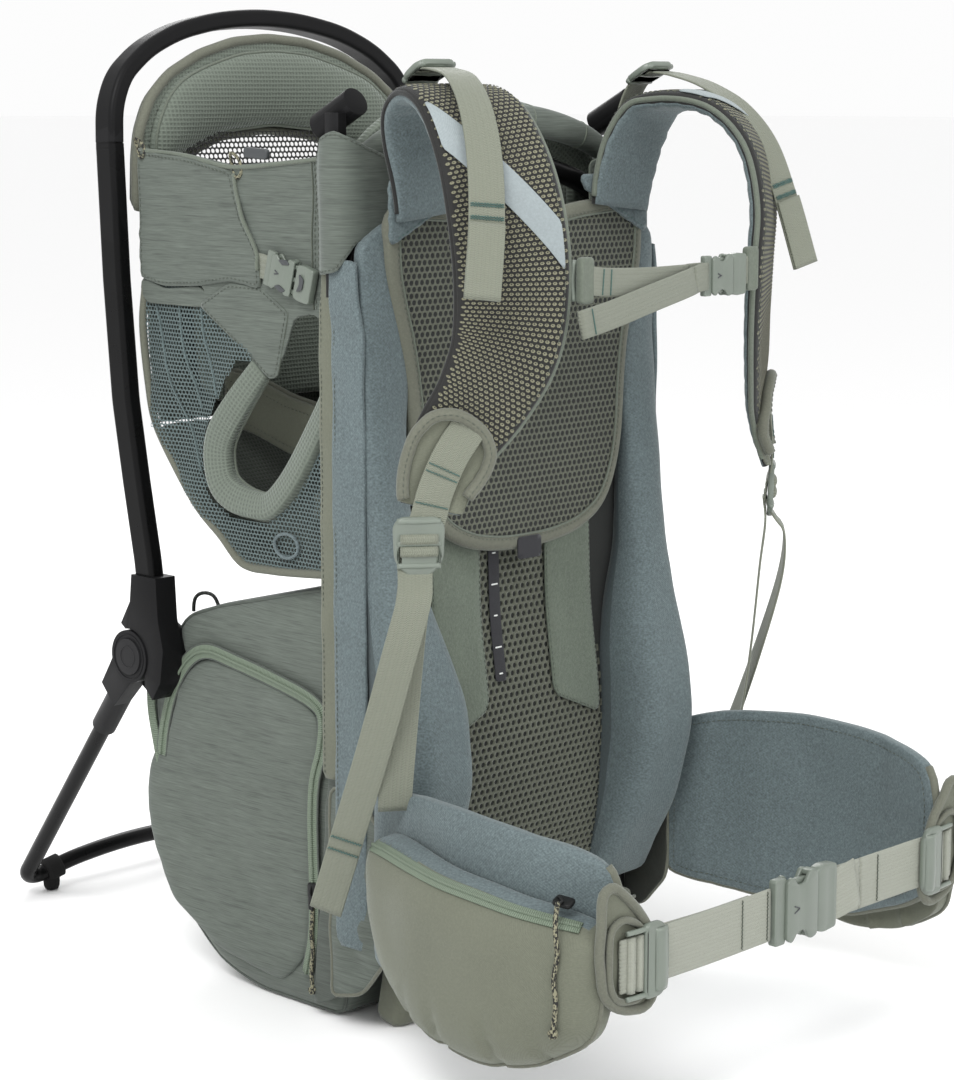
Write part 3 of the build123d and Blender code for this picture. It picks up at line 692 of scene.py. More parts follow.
def g_perf(S, box, mask, pu, pv, rx, rz, crown=0.5, depth=0.8, square=1.0):
    """Perforated or netted sheet: brick-laid cells with a hole each."""
    u0, u1, v0, v1 = box
    rows = int((v1 - v0) / pv) + 1
    cols = int((u1 - u0) / pu) + 2
    j, i = np.meshgrid(np.arange(rows), np.arange(cols), indexing="ij")
    cu = (u0 + (i + 0.5 * (j % 2)) * pu).ravel()
    cv = (v0 + (j + 0.5) * pv).ravel()
    ok = mask(cu, cv)
    cu, cv = cu[ok], cv[ok]
    if len(cu) == 0:
        return np.zeros((0, 3)), [], np.zeros((0, 2))
    bx = np.array([-1, 0, 1, 1, 1, 0, -1, -1]) * pu / 2
    by = np.array([-1, -1, -1, 0, 1, 1, 1, 0]) * pv / 2
    an = np.radians([225, 270, 315, 0, 45, 90, 135, 180])
    ce, se = np.cos(an), np.sin(an)
    hx = np.sign(ce) * np.abs(ce) ** square * rx
    hy = np.sign(se) * np.abs(se) ** square * rz
    m = len(cu)
    Bu, Bv = cu[:, None] + bx, cv[:, None] + by
    Hu, Hv = cu[:, None] + hx, cv[:, None] + hy
    key = np.round(np.stack([Bu.ravel(), Bv.ravel()], 1), 3)
    uq, inv = np.unique(key, axis=0, return_inverse=True)
    inv = np.asarray(inv).reshape(m, 8)
    nb = len(uq)
    nB = surf_n(S, uq[:, 0], uq[:, 1])
    VB = S(uq[:, 0], uq[:, 1]) + nB * crown
    hu, hv = Hu.ravel(), Hv.ravel()
    nH = surf_n(S, hu, hv)
    SH = S(hu, hv)
    VH = SH + nH * crown * 0.55
    VD = SH - nH * depth
    F = []
    for c in range(m):
        for k in range(8):
            k2 = (k + 1) % 8
            a, b_, h1, h2 = inv[c, k], inv[c, k2], nb + c * 8 + k, nb + c * 8 + k2
            F.append((a, b_, h2, h1))
            F.append((h1, h2, h2 + m * 8, h1 + m * 8))
    V = np.vstack([VB, VH, VD])
    U = np.vstack([uq, np.stack([hu, hv], 1), np.stack([hu, hv], 1)])
    return V, F, U


def g_cells(S, box, mask, pu, pv, rx, rz, lift=0.5, base=0.05):
    """Brick-laid raised oval cells."""
    u0, u1, v0, v1 = box
    rows, cols = int((v1 - v0) / pv) + 1, int((u1 - u0) / pu) + 2
    j, i = np.meshgrid(np.arange(rows), np.arange(cols), indexing="ij")
    cu, cv = (u0 + (i + 0.5 * (j % 2)) * pu).ravel(), (v0 + (j + 0.5) * pv).ravel()
    ok = mask(cu, cv)
    cu, cv = cu[ok], cv[ok]
    m = len(cu)
    an = np.radians([0, 60, 120, 180, 240, 300])
    uu = np.concatenate([(cu[:, None] + np.cos(an) * rx), cu[:, None]], 1).ravel()
    vv = np.concatenate([(cv[:, None] + np.sin(an) * rz), cv[:, None] - rz * 0.2], 1).ravel()
    hh = np.tile([base] * 6 + [lift], m)
    V = S(uu, vv) + surf_n(S, uu, vv) * hh[:, None]
    F = [(c * 7 + k, c * 7 + (k + 1) % 6, c * 7 + 6) for c in range(m) for k in range(6)]
    return V, F, np.stack([uu, vv], 1)


def g_plate(outline, holes, o, x, y, t, ch=0.7):
    """Moulded flat plate with eased edges; o is its centre, x and y its in-plane axes."""
    o, x, y = np.array(o, float), nrm(np.array(x, float)), np.array(y, float)
    y = nrm(y - x * (x @ y))
    z = np.cross(x, y)
    V, F, U = [], [], []
    loops = []
    for k, L in enumerate([outline] + list(holes)):
        L = np.asarray(L, float)
        ar = 0.5 * np.sum(L[:, 0] * np.roll(L[:, 1], -1) - np.roll(L[:, 0], -1) * L[:, 1])
        if (ar < 0) != (k > 0):
            L = L[::-1]
        loops.append(L)

    def at(p2, zz):
        return o + p2[:, :1] * x + p2[:, 1:2] * y + zz * z

    inset, cnt, idx = [], 0, []
    for L in loops:
        tt = np.roll(L, -1, 0) - np.roll(L, 1, 0)
        nn = nrm(np.stack([-tt[:, 1], tt[:, 0]], 1))
        I = L + nn * ch
        rings = [(I, t / 2), (L + nn * ch * 0.3, t / 2 - ch * 0.3), (L, t / 2 - ch), (L, -t / 2 + ch), (L + nn * ch * 0.3, -t / 2 + ch * 0.3), (I, -t / 2)]
        start = cnt
        for p2, zz in rings:
            V.append(at(p2, zz))
            U.append(p2)
            cnt += len(L)
        m = len(L)
        for r in range(5):
            for i in range(m):
                i2 = (i + 1) % m
                F.append((start + r * m + i, start + r * m + i2, start + (r + 1) * m + i2, start + (r + 1) * m + i))
        inset.append(I)
        idx.append((start, start + 5 * m, m))
    pts, edges, src = [], [], []
    for I, (a, b_, m) in zip(inset, idx):
        e0 = len(pts)
        pts += [Vector(p) for p in I]
        edges += [(e0 + i, e0 + (i + 1) % m) for i in range(m)]
        src += [(a + i, b_ + i) for i in range(m)]
    r = delaunay_2d_cdt(pts, edges, [], 2 if holes else 1, 1e-6)
    mp = [og[0] if og else None for og in r[3]]
    for f in r[2]:
        if any(mp[i] is None for i in f):
            continue
        F.append(tuple(src[mp[i]][0] for i in f))
        F.append(tuple(src[mp[i]][1] for i in reversed(f)))
    return np.vstack(V), F, np.vstack(U)


def rrect(w_, h_, r, n=4, cx=0, cy=0):
    return rounded([(cx - w_ / 2, cy - h_ / 2), (cx + w_ / 2, cy - h_ / 2), (cx + w_ / 2, cy + h_ / 2), (cx - w_ / 2, cy + h_ / 2)], r, n)


def stitches(P, ln=2.6, gap=1.7, r=0.33, closed=False):
    """Dashes of thread along a 3-D line."""
    P = np.asarray(P, float)
    Q = respace(P, 0.9, closed)
    s = np.r_[0, np.cumsum(np.linalg.norm(np.diff(Q, axis=0), axis=1))]
    V, F, U, n = [], [], [], 0
    a = 0.0
    while a + ln < s[-1]:
        tt = np.array([a, a + ln * 0.5, a + ln])
        q = np.stack([np.interp(tt, s, Q[:, k]) for k in range(3)], 1)
        v, f, u = g_tube(q, [r * 0.6, r, r * 0.6], 5)
        V.append(v)
        U.append(u)
        F += [tuple(i + n for i in ff) for ff in f]
        n += len(v)
        a += ln + gap
    if not V:
        return np.zeros((0, 3)), [], np.zeros((0, 2))
    return np.vstack(V), F, np.vstack(U)


def curve_cord(name, pts, r, mat):
    cu = bpy.data.curves.new(name, "CURVE")
    cu.dimensions = "3D"
    sp = cu.splines.new("NURBS")
    sp.points.add(len(pts) - 1)
    for p, q in zip(sp.points, pts):
        p.co = (q[0] * 0.001, q[1] * 0.001, q[2] * 0.001, 1)
    sp.order_u = 3
    sp.use_endpoint_u = True
    cu.bevel_depth = r * 0.001
    cu.bevel_resolution = 4
    cu.resolution_u = 14
    cu.use_fill_caps = True
    cu.materials.append(M[mat])
    o = bpy.data.objects.new(name, cu)
    sc.collection.objects.link(o)
    return o

# ============================================================ cords
c1 = curve_cord("elastic_loop_cord", [(-112, 121, 281.5), (-112.5, 120.5, 290), (-112, 115, 296.5), (-110.5, 105, 298.5), (-109, 97, 295.5), (-109, 94, 288.5)], 1.5, "elastic")
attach(c1, "frame")
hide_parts("elastic_loop")
c2 = curve_cord("bag_pull_cord_line", [(-152.2, -59, 85.6), (-153.2, -60, 76), (-153.6, -58.5, 64), (-153.2, -60.5, 50), (-153.8, -58, 36), (-153, -59, 22)], 1.6, "cord")
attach(c2, "bag_slider_left")
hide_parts("bag_pull_cord")
c3 = curve_cord("hip_pull_cord_line", [(-214.4, -364, 166.2), (-222, -369, 163.2), (-226.5, -372.5, 151), (-225.8, -374.5, 135), (-227.6, -371.5, 119), (-226, -374, 103), (-227, -371.5, 84)], 1.7, "cord")
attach(c3, "hip_slider_left")
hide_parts("hip_pull_cord")


def knot(name, c, r, body):
    b = B()
    t = np.linspace(0, 2 * math.pi, 60, endpoint=False)
    P = np.stack([np.cos(2 * t) * (1.6 + 0.8 * np.cos(3 * t)), np.sin(2 * t) * (1.6 + 0.8 * np.cos(3 * t)), 1.9 * np.sin(3 * t)], 1) * r / 1.7 + np.array(c)
    b.add(g_tube(P, r * 0.85, 8, closed=True), "cord")
    return b.make(name, body, "speckled_cord")


k2 = knot("bag_pull_knot", (-153.0, -59, 19.5), 1.6, "bag_slider_left")
k3 = knot("hip_pull_knot", (-227.0, -371.5, 82), 1.7, "hip_slider_left")

# ============================================================ carried-over hard parts
HARD = dict(hoop_legs="black", hoop_top_arch="mould", hinge_housings="mould", hinge_axles="steel", stand_arms="mould", hinge_button_left="button",
            hinge_button_right="button", stand_tube="black", front_frame_tube="black", lower_frame="black", shade_sockets="mould")
for node, mt in HARD.items():
    o = N[node]
    o.data.materials.clear()
    o.data.materials.append(M[mt])
    o.data.shade_smooth()
    o.data.set_sharp_from_angle(angle=math.radians(35))
    if node in ("hinge_housings", "stand_arms", "hinge_button_left", "hinge_button_right", "shade_sockets"):
        wd = o.modifiers.new("weld", "WELD")
        wd.merge_threshold = 0.00002
        bv = o.modifiers.new("ease", "BEVEL")
        bv.width = 0.0011
        bv.segments = 3
        bv.limit_method = "ANGLE"
        bv.angle_limit = math.radians(38)
        bv.harden_normals = False

# moulded details on the hinges: ring seam and button mark
b = B()
cy, cz = 131.0, 252.0
t = np.linspace(0, 2 * math.pi, 48, endpoint=False)
b.add(g_tube(np.stack([np.full(48, -170.9), cy + 17.8 * np.cos(t), cz + 17.8 * np.sin(t)], 1), 0.55, 6, closed=True), "mould")
b.mirror()
b.make("hinge_ring_seams", "stand", "black_moulding")
for sgn, side in ((1, "left"), (-1, "right")):
    b = B()
    b.add(g_tube(np.stack([np.full(48, -172.0), cy + 8.5 * np.cos(t), cz + 8.5 * np.sin(t)], 1), 0.5, 6, closed=True), "button")
    b.make("button_ring_" + side, "hinge_button_" + side, "button_plastic", sign=sgn)

# rubber feet: a sleeve on the bar with a low wedge under it
b = B()
fa, fb = np.array([-115.0, 356, 9.0]), np.array([-72.0, 342, 25.0])
fu = (fb - fa) / np.linalg.norm(fb - fa)
pts_ = np.array([fa + fu * k for k in (23.5, 24.5, 31, 37.5, 38.5)])
b.add(g_tube(pts_, [9.2, 10.2, 10.3, 10.2, 9.2], 20), "rubber")
b.add(Rib([(-89, 347.5, 13), (-89, 347.5, 8), (-89, 347.5, 3.0), (-89, 347.5, 0.4)], [12, 13, 12, 10], (1, 0, 0), [13, 13, 12, 9.5], 3, smooth=False).all(18, 0.6), "rubber")
b.mirror()
b.make("stand_foot_sleeves", "stand", "foot_rubber", "stand_feet")
# dark gasket that closes the seam of the hoop
b = B()
for k_ in (0,):
    HV = np.array([v.co[:] for v in N["hoop_top_arch"].data.vertices]) * 1000
    if np.abs(HV).max() < 5:
        HV *= 1000
    HV = HV[(HV[:, 0] < 0)]
    lowz = HV[:, 2].min()
    ring_ = HV[HV[:, 2] < lowz + 0.6]
    cx_, cy_ = (ring_[:, 0].max() + ring_[:, 0].min()) / 2, (ring_[:, 1].max() + ring_[:, 1].min()) / 2
    wx_, wy_ = np.ptp(ring_[:, 0]), np.ptp(ring_[:, 1])
    ring_ = HV[HV[:, 2] < lowz + 9.0]
    pc_ = ring_.mean(0)
    ax_ = np.linalg.svd(ring_ - pc_, full_matrices=False)[2]
    r2_ = np.unique(((ring_ - pc_) @ ax_[:2].T).round(2), axis=0)
    r2_ = r2_[np.lexsort((r2_[:, 1], r2_[:, 0]))]
    hull_ = []
    for seq in (r2_, r2_[::-1]):
        part_ = []
        for p_ in seq:
            while len(part_) > 1 and (part_[-1][0] - part_[-2][0]) * (p_[1] - part_[-2][1]) - (part_[-1][1] - part_[-2][1]) * (p_[0] - part_[-2][0]) <= 0:
                part_.pop()
            part_.append(p_)
        hull_ += part_[:-1]
    hull_ = np.array(hull_)
    b.add(g_plate([tuple(p_ * (1 - 0.3 / max(np.linalg.norm(p_), 1))) for p_ in hull_], [], pc_, ax_[0], ax_[1], 12.0, 0.2), "black")
print("HOOP seam", lowz, cx_, cy_, wx_, wy_, flush=True)
b.mirror()
b.make("hoop_seam_gaskets", "frame", "black_moulding")

# ============================================================ headrest
PLAN_X = np.array([-150, -120, -80, -40, 0, 40, 80, 120, 150.0])
PLAN_Y = np.array([140, 150.5, 156.5, 159.5, 160.5, 159.5, 156.5, 150.5, 140.0])


def S_head(u, v):
    y = np.interp(u, PLAN_X, PLAN_Y) + 0.0 * v
    yy = (np.interp(u - 12, PLAN_X, PLAN_Y) + y + np.interp(u + 12, PLAN_X, PLAN_Y)) / 3
    return np.stack([u, yy - 0.06 * (v - 640), v], -1)


head_o = rounded([(-146, 600), (-146.5, 640), (-144, 662), (-132, 685), (-110, 703), (-76, 719), (-38, 729), (0, 732), (38, 729), (76, 719), (110, 703), (132, 685), (144, 662), (146.5, 640), (146, 600), (112, 606), (84, 642), (50, 655), (0, 660), (-50, 655), (-84, 642), (-112, 606)], 8)
head = Pillow(head_o, S_head, 15, 6, 20, 7, extra=lambda u, v: 3.0 * np.clip((v - 640) / 60, 0, 1) * np.exp(-((np.abs(u) - 60) / 60) ** 2))
b = B()
head.put(b, "waffle", "heather", "bind")
rim = head.rim(0)
b.add(g_tube(rim + [0, 0, 0], 4.3, 10, closed=True), "bind")
b.add(stitches(head.rim(8.5, lift=0.2), closed=True), "thread")
# thick half-moon cushion set inside the bound edge
moon = rounded([(-134, 640), (-131, 664), (-116, 688), (-98, 701), (-70, 711), (-36, 720), (0, 722.5), (36, 720), (70, 711), (98, 701), (116, 688), (131, 664), (134, 640), (116, 634), (88, 646), (52, 658), (0, 663), (-52, 658), (-88, 646), (-116, 634)], 10)
mp_ = Pillow(moon, lambda u, v: S_head(u, v) + np.array([0, -9.0, 0]), 26, 3, 30, 6)
mp_.put(b, "waffle", "heather", "waffle")
b.add(g_tube(mp_.rim(0.5), 1.2, 7, closed=True), "bind_s")
o = b.make("headrest_shell", "frame", "sage_waffle", "headrest")

# ============================================================ child compartment: rear, floor, seat, inner pads
b = B()
rear_prof = cat([(122, 440), (124, 466), (128.5, 511), (128.7, 560), (128.7, 600), (128.7, 645)], 6)
ly = lambda v: np.interp(v, rear_prof[:, 1], rear_prof[:, 0])
S_rear = lambda u, v: np.stack([u, ly(v) + 0 * u, v], -1)
rear_o = rounded([(-146, 440), (146, 440), (146, 600), (146, 624), (60, 612), (-60, 612), (-146, 624), (-146, 600)], 8)
rp = Pillow(rear_o, S_rear, 5, 2, 8, 10, extra=lambda u, v: 0.8 * wr(u, v, 3))
# inner face of the rear wall in the darker sage copy: painted shade inside the compartment
rp.put(b, "waffle_shaded", "heather", "bind")
rm = np.array([(x, 128.7, 612 + 12 * (abs(x) / 146) ** 2) for x in np.linspace(-146, 146, 40)])
b.add(g_tube(rm, 3.2, 8), "bind")
# open ventilated window between rear wall and headrest
S_win = lambda u, v: np.stack([u, 131.0 + (v - 612) * 0.22 + 0 * u, v], -1)
b.add(g_perf(S_win, (-132, 132, 612, 660), lambda u, v: (np.abs(u) < 130) & (v > 612 + 10 * (u / 146) ** 2) & (v < 657), 4.6, 4.2, 1.85, 1.7, 0.2, 0.2, 0.8), "black_m")
b.make("compartment_rear", "frame", "sage_waffle", "rear_wall")

b = B()
fl = cat([(114.5, 436), (92.8, 406.5), (67, 378), (41, 359), (17, 340), (-13, 338), (-54, 341), (-86, 345)], 6)
V0 = np.r_[0, np.cumsum(np.linalg.norm(np.diff(fl, axis=0), axis=1))]
S_fl = lambda u, v: np.stack([u, np.interp(v, V0, fl[:, 0]) + 0 * u, np.interp(v, V0, fl[:, 1]) + 0 * u], -1)
fo = rounded([(-149, 2), (149, 2), (149, V0[-1] - 1), (-149, V0[-1] - 1)], 2)
fp = Pillow(fo, S_fl, 5, 2, 8, 11, extra=lambda u, v: 1.0 * wr(u, v, 5))
# floor: underside in the darker heather copy, inside face in the darker sage copy, both painted shade
fp.put(b, "heather_shade_seam", "waffle_shaded", "bind")
# corner strip that joins the floor to the rear wall
# corner strip in the darker sage copy: painted shade in the corner
b.add(Rib([(-146.5, 119.5, 455), (-50, 120.5, 455), (50, 120.5, 455), (146.5, 119.5, 455)], 38, (0, 0.2, 1), 2.4, 6).all(12, 0.3), "waffle_shaded")
b.make("compartment_base", "frame", "sage_waffle", "compartment_floor")

b = B()
S_seat = lambda u, v: np.stack([u, v, 366 + np.clip((v - 5) / 60, 0, 1) * 8 + 0 * u], -1)
seat = Pillow(rrect(146, 106, 22, cx=0, cy=-20), S_seat, 30, 12, 16, 8, bottom=0.7)
seat.put(b, "waffle", "khaki", "khaki")
b.add(g_tube(seat.rim(1.0), 2.6, 8, closed=True), "bind")
o = b.make("seat_cushion", "frame", "sage_waffle", "seat_pad")

b = B()
ib = cat([(106.5, 447), (112, 470), (117, 511), (119, 560), (119, 630)], 6)
S_ib = lambda u, v: np.stack([u, np.interp(v, ib[:, 1], ib[:, 0]) + 0 * u, v], -1)
ibp = Pillow(rounded([(-108, 449), (108, 449), (110, 560), (104, 628), (-104, 628), (-110, 560)], 22), S_ib, 11, 4, 14, 9)
# back face in the darker sage copy: painted shade behind the cushion
ibp.put(b, "waffle", "waffle_shaded", "bind")
for x in (-36, 36):
    b.add(g_tube(ibp.at(np.full(20, x), np.linspace(458, 620, 20), -0.5, -1), 1.0, 6), "bind_s")
o = b.make("inner_back_cushion", "frame", "sage_waffle", "inner_back_pad")

b = B()
S_fp = lambda u, v: np.stack([u, -83 + 0 * u, v], -1)
fpp = Pillow(rrect(262, 244, 16, cx=0, cy=474), S_fp, 7, 3, 9, 10)
# both faces in the darker sage copy: painted shade inside the front wall
fpp.put(b, "waffle_shaded", "waffle_shaded", "bind")
# khaki seat band with piping, across the inside at the front
S_sb = lambda u, v: np.stack([u, -70 + 0 * u, v], -1)
b.add(g_tube(np.array([(-133, -68, 446), (-60, -72, 432), (0, -73, 428), (60, -72, 432), (133, -68, 446)]), 3.2, 8, step=10), "bind")
band = Rib([(-133, -73, 424), (-60, -75, 410), (0, -75, 406), (60, -75, 410), (133, -73, 424)], 42, (0, 0, 1), 6, 10)
b.add(band.all(20, 0.5), "khaki")
o = b.make("front_inner_pad", "frame", "sage_waffle", "front_pad")

# ============================================================ compartment side panels (left built, mirrored)


def S_side(x0, bow=3.0):
    """Side plane, bowed outwards a little in the middle."""
    def S(u, v):
        q = np.clip(1 - ((u - 20) / 120) ** 2, 0, 1) * np.clip(1 - ((v - 560) / 110) ** 2, 0, 1)
        return np.stack([x0 - bow * q, u, v], -1)
    return S


b = B()
panel = rounded([(130, 647), (73, 643.5), (21, 636), (-48, 641), (-88, 645), (-88, 517), (-66, 531), (-45, 527), (-34, 500), (-20, 480), (57, 531), (52, 545), (124, 548), (131.5, 560)], 5)
p1 = Pillow(panel, S_side(-149.2, 2.0), 3.4, 1.6, 4, 7, extra=lambda u, v: -0.9 * wr(u, v, 11, 1.4))
# inner faces of these side pieces in the darker heather copy: painted shade
p1.put(b, "heather_shade_seam", "heather", "heather")
# over-lapping rear flap, held by the buckle
flap = rounded([(130.5, 645), (73, 641), (20, 632), (14, 610), (4, 590), (-10, 573), (-14, 560), (-12, 546), (20, 551), (60, 545), (100, 543), (128, 549)], 6)
p2 = Pillow(flap, S_side(-151.9, 2.2), 2.6, 1.2, 6, 6, extra=lambda u, v: -(1.0 * wr(u, v, 12, 1.6) + 1.6 * np.exp(-((v - 556 + 0.06 * u) / 5) ** 2) + 1.1 * np.exp(-(((v - 566) - 0.12 * u) / 3.5) ** 2)))
p2.put(b, "heather_shade_seam", "heather", "bind_s")
# lower rear corner of the flap and the front lower corner (two more cuts of cloth)
fl3 = rounded([(128, 549), (100, 541), (60, 545), (46, 536), (58, 529), (122, 529), (131, 537)], 4)
Pillow(fl3, S_side(-151.0, 1.5), 2.4, 1.2, 4, 6, extra=lambda u, v: -0.7 * wr(u, v, 14, 1.6)).put(b, "heather_shade_seam", "heather", "bind_s")
fl4 = rounded([(60, 531), (24, 549), (-10, 548), (-40, 530), (-27, 482), (-18, 480)], 3)
p4 = Pillow(fl4, S_side(-150.9, 1.5), 2.6, 1.3, 4, 6, extra=lambda u, v: -0.8 * wr(u, v, 16, 1.3))
p4.put(b, "heather_shade_seam", "heather", "bind_s")
b.add(stitches(p4.rim(2.2, side=-1, lift=0.35), closed=True), "thread")
b.add(stitches(p2.rim(2.6, side=-1, lift=0.35), closed=True), "thread")


def line_on(pl, pts, r, mat, lift=0.4, side=-1, n=8, st=False):
    q = cat(np.array(pts, float), n)
    P3 = pl.at(q[:, 0], q[:, 1], lift, side)
    b.add(stitches(P3, r=r) if st else g_tube(P3, r, 6), mat)


line_on(p1, [(130, 645.5), (73, 642), (21, 634.5), (-48, 639.5), (-87, 643.5)], 1.8, "bind_s", 0.2)
line_on(p2, [(131, 643), (73, 638.5), (22, 630)], 0.36, "thread", 0.3, st=True)
line_on(p1, [(-66, 640), (-67, 610), (-66, 580), (-66, 552), (-67, 534)], 0.8, "thread", 0.25)
line_on(p1, [(-69, 640), (-70, 610), (-69, 580), (-69, 552), (-70, 534)], 0.36, "thread", 0.5, st=True)
line_on(p2, [(17, 630), (13, 612), (3, 590), (-9, 573), (-12, 560)], 1.7, "bind_s", 0.2)
# elastic loops at the top edge
for (y, z, k) in ((16, 634, 1.0), (127, 645, 0.8)):
    t = np.linspace(0, 2 * math.pi, 30)
    P = np.stack([-151.5 - 2.4 * np.sin(t) ** 2, y + 5 * k * np.cos(t) + 3 * np.sin(t), z + 9 * k * np.sin(t) + 2], 1)
    b.add(g_tube(P, 1.3, 7), "cord")
b.add(g_plate(rrect(26, 8, 3), [], (-149.6, -4, 645), (0, 1, 0.05), (0, 0, 1), 4, 1.2), "grey")
b.mirror()
b.make("side_panel_covers", "frame", "heather_fabric", "side_panels")

# short webbing tabs behind each flap buckle
b = B()
b.add(Rib([(-154.0, -9, 564), (-155.6, -17, 563.2), (-157.2, -26, 561.6), (-157.4, -29, 561.0)], 18, (0, 0.262, -0.965), 1.9, 3).all(14, 0.3), "web")
b.mirror()
b.make("flap_buckle_tabs", "frame", "webbing")

# ============================================================ mesh sides
b = B()
mo = cat([(122, 545), (131, 520), (130, 490), (126, 463), (117, 434), (95, 403), (69, 375), (43, 356), (18, 337), (-13, 335.5), (-54, 338), (-87, 342), (-87, 400), (-87, 466), (-75, 444), (-44, 400), (-12, 370),
          (28, 371), (51, 384), (60, 418), (54, 444), (17, 492), (-6, 492), (30, 514), (58, 530), (52, 543), (90, 545)], 4, closed=True)
mo2 = np.array([(122, 546), (131, 520), (130, 490), (126, 463), (117, 434), (95, 403), (69, 375), (43, 356), (18, 337), (-13, 335.5), (-54, 338), (-87, 342), (-87, 466), (-75, 444), (-44, 400), (-12, 370),
                (28, 371), (51, 384), (60, 418), (54, 444), (17, 492), (-6, 492), (58, 530), (52, 544)], float)


def S_mesh(u, v):
    fold = 1.6 * np.sin((u * 0.75 + v * 0.35) / 9.0) + 1.2 * np.sin((u * 0.4 - v * 0.5) / 13.0 + 1)
    pull = np.clip((540 - v) / 60, 0, 1) * np.clip((v - 345) / 40, 0, 1)
    return np.stack([-149.4 - 1.3 * fold * pull - 3.0 * pull * np.clip(1 - ((u - 40) / 110) ** 2, 0, 1), u, v], -1)


b.add(g_perf(S_mesh, (-88, 134, 334, 548), lambda u, v: inside(mo2, u, v), 3.6, 3.1, 1.38, 1.22, 0.25, 0.2, 0.8), "bluemesh")
edge = cat([(127, 545), (131.5, 511), (126, 466), (118, 436), (95, 404), (69, 375), (43, 356), (18, 337), (-13, 335.5), (-54, 338), (-86, 341)], 8)
b.add(g_tube(np.stack([np.full(len(edge), -149.2), edge[:, 0], edge[:, 1]], 1), 3.1, 8), "bind")
for pts in ([(120, 545), (112, 520), (96, 470), (72, 430), (58, 404)], [(88, 545), (84, 520), (76, 486), (62, 452)], [(60, 529), (56, 505), (46, 480), (40, 462)]):
    q = cat(np.array(pts, float), 8)
    b.add(g_tube(S_mesh(q[:, 0], q[:, 1]) + [-0.3, 0, 0], 1.1, 8, flat=0.5), "bluemesh")
# piped eyelet low on the mesh
t = np.linspace(0, 2 * math.pi, 32, endpoint=False)
b.add(g_tube(np.stack([np.full(32, -151.8), -34 + 13 * np.cos(t), 357 + 9 * np.sin(t)], 1), 1.3, 7, closed=True), "blue")
b.mirror()
b.make("mesh_side_panels", "frame", "blue_fabric", "mesh_sides")

# padded seat sides between the leg openings, seen through them
b = B()
for sx in (-1, 1):
    sad = rounded([(104, 474), (70, 470), (30, 458), (-20, 450), (-82, 462), (-82, 416), (-20, 406), (30, 414), (70, 426), (104, 432)], 8)
    sp_ = Pillow(sad, (lambda k: (lambda u, v: np.stack([k + 0 * u, u, v], -1)))(sx * 88.0), 11, 4, 12, 8)
    sp_.put(b, "khaki", "khaki", "bind")
    top_ = sp_.rim(0.5)
    b.add(g_tube(top_, 2.8, 8, closed=True), "bind")
    b.add(stitches(sp_.rim(7, lift=0.4, side=-1), closed=True), "thread")
o = b.make("seat_side_pads", "frame", "khaki_fabric")
# upper inside padding behind the right side panel only, in the darker sage copy: painted shade inside the compartment
b = B()
for sx in (-1, 1):
    ln = rounded([(112, 640), (-70, 636), (-80, 520), (-80, 440), (-40, 430), (60, 430), (116, 440)], 10)
    lp_ = Pillow(ln, (lambda k: (lambda u, v: np.stack([k + 0 * u, u, v], -1)))(sx * 139.0), 5, 2, 8, 12)
    if sx > 0:
        lp_.put(b, "waffle_shaded", "waffle_shaded", "bind")
o = b.make("inner_side_lining", "frame", "sage_waffle")

# ============================================================ padded leg rims
b = B()
rl = np.array([(-6, 487), (14, 466), (34, 443), (43, 428), (45, 412), (40, 396), (26, 387), (6, 383.5), (-12, 384.5), (-28, 396), (-44, 414), (-62, 440), (-78, 466), (-84, 482)], float)
rw = [18, 21, 24, 25, 25, 25, 24, 21, 21, 22, 22, 21, 20, 18]
Pc = np.stack([np.array([-150, -150, -149.5, -148.8, -148.2, -148, -148, -148, -148, -148, -148.2, -148.6, -149, -149.5]), rl[:, 0], rl[:, 1]], 1)
tt = nrm(np.gradient(rl, axis=0))
Dd = np.stack([np.full(len(rl), -0.25), -tt[:, 1], tt[:, 0]], 1)
r = Rib(Pc, rw, Dd, [8, 11, 12, 12.5, 13, 13, 13, 12.5, 12.5, 13, 13, 12, 10, 8], 4)
b.add(r.all(22, 0.62), "waffle")
for sg in (-1, 1):
    v = np.linspace(2, r.L[-1] - 2, 90)
    b.add(g_tube(r.at(sg * (np.interp(v, r.L, r.W) / 2 - 0.6), v, -0.5), 1.5, 7), "bind_s")
b.mirror()
o = b.make("leg_rim_pads", "frame", "sage_waffle", "leg_rims")

# ============================================================ storage bag
bag_side = rounded([(-84, 333), (40, 304), (104, 288), (136, 262), (160, 230), (167, 206), (163, 178), (155, 152), (149, 128), (144, 100), (136, 72), (118, 46), (84, 24), (46, 8), (12, 0.5), (-84, 0.5)], 14)


def bag_warp(P):
    x, y, z = P[..., 0], P[..., 1], P[..., 2]
    yk = np.interp(np.abs(x), [0, 50, 100, 128, 141, 147], [167, 166, 158, 149, 140, 131])
    y2 = np.where(y > 60, 60 + (y - 60) * (yk - 60) / 107, y)
    fade = np.clip(z / 40, 0, 1)
    wv = wr(z * 1.0, y + 0.5 * x, 21, 0.9)
    x2 = x + np.sign(x) * np.clip((np.abs(x) - 120) / 20, 0, 1) * (-1.4 + 1.6 * wv) * fade
    y3 = y2 + np.clip((y - 110) / 40, 0, 1) * (-1.6 + 2.0 * wr(x, z, 22, 0.8)) * fade
    top = np.clip((z - 270) / 20, 0, 1) * np.clip((147 - np.abs(x)) / 60, 0, 1)
    z2 = z + top * (-0.6 + 1.8 * wr(x, y, 23, 0.8))
    return np.stack([x2, y3, z2], -1)


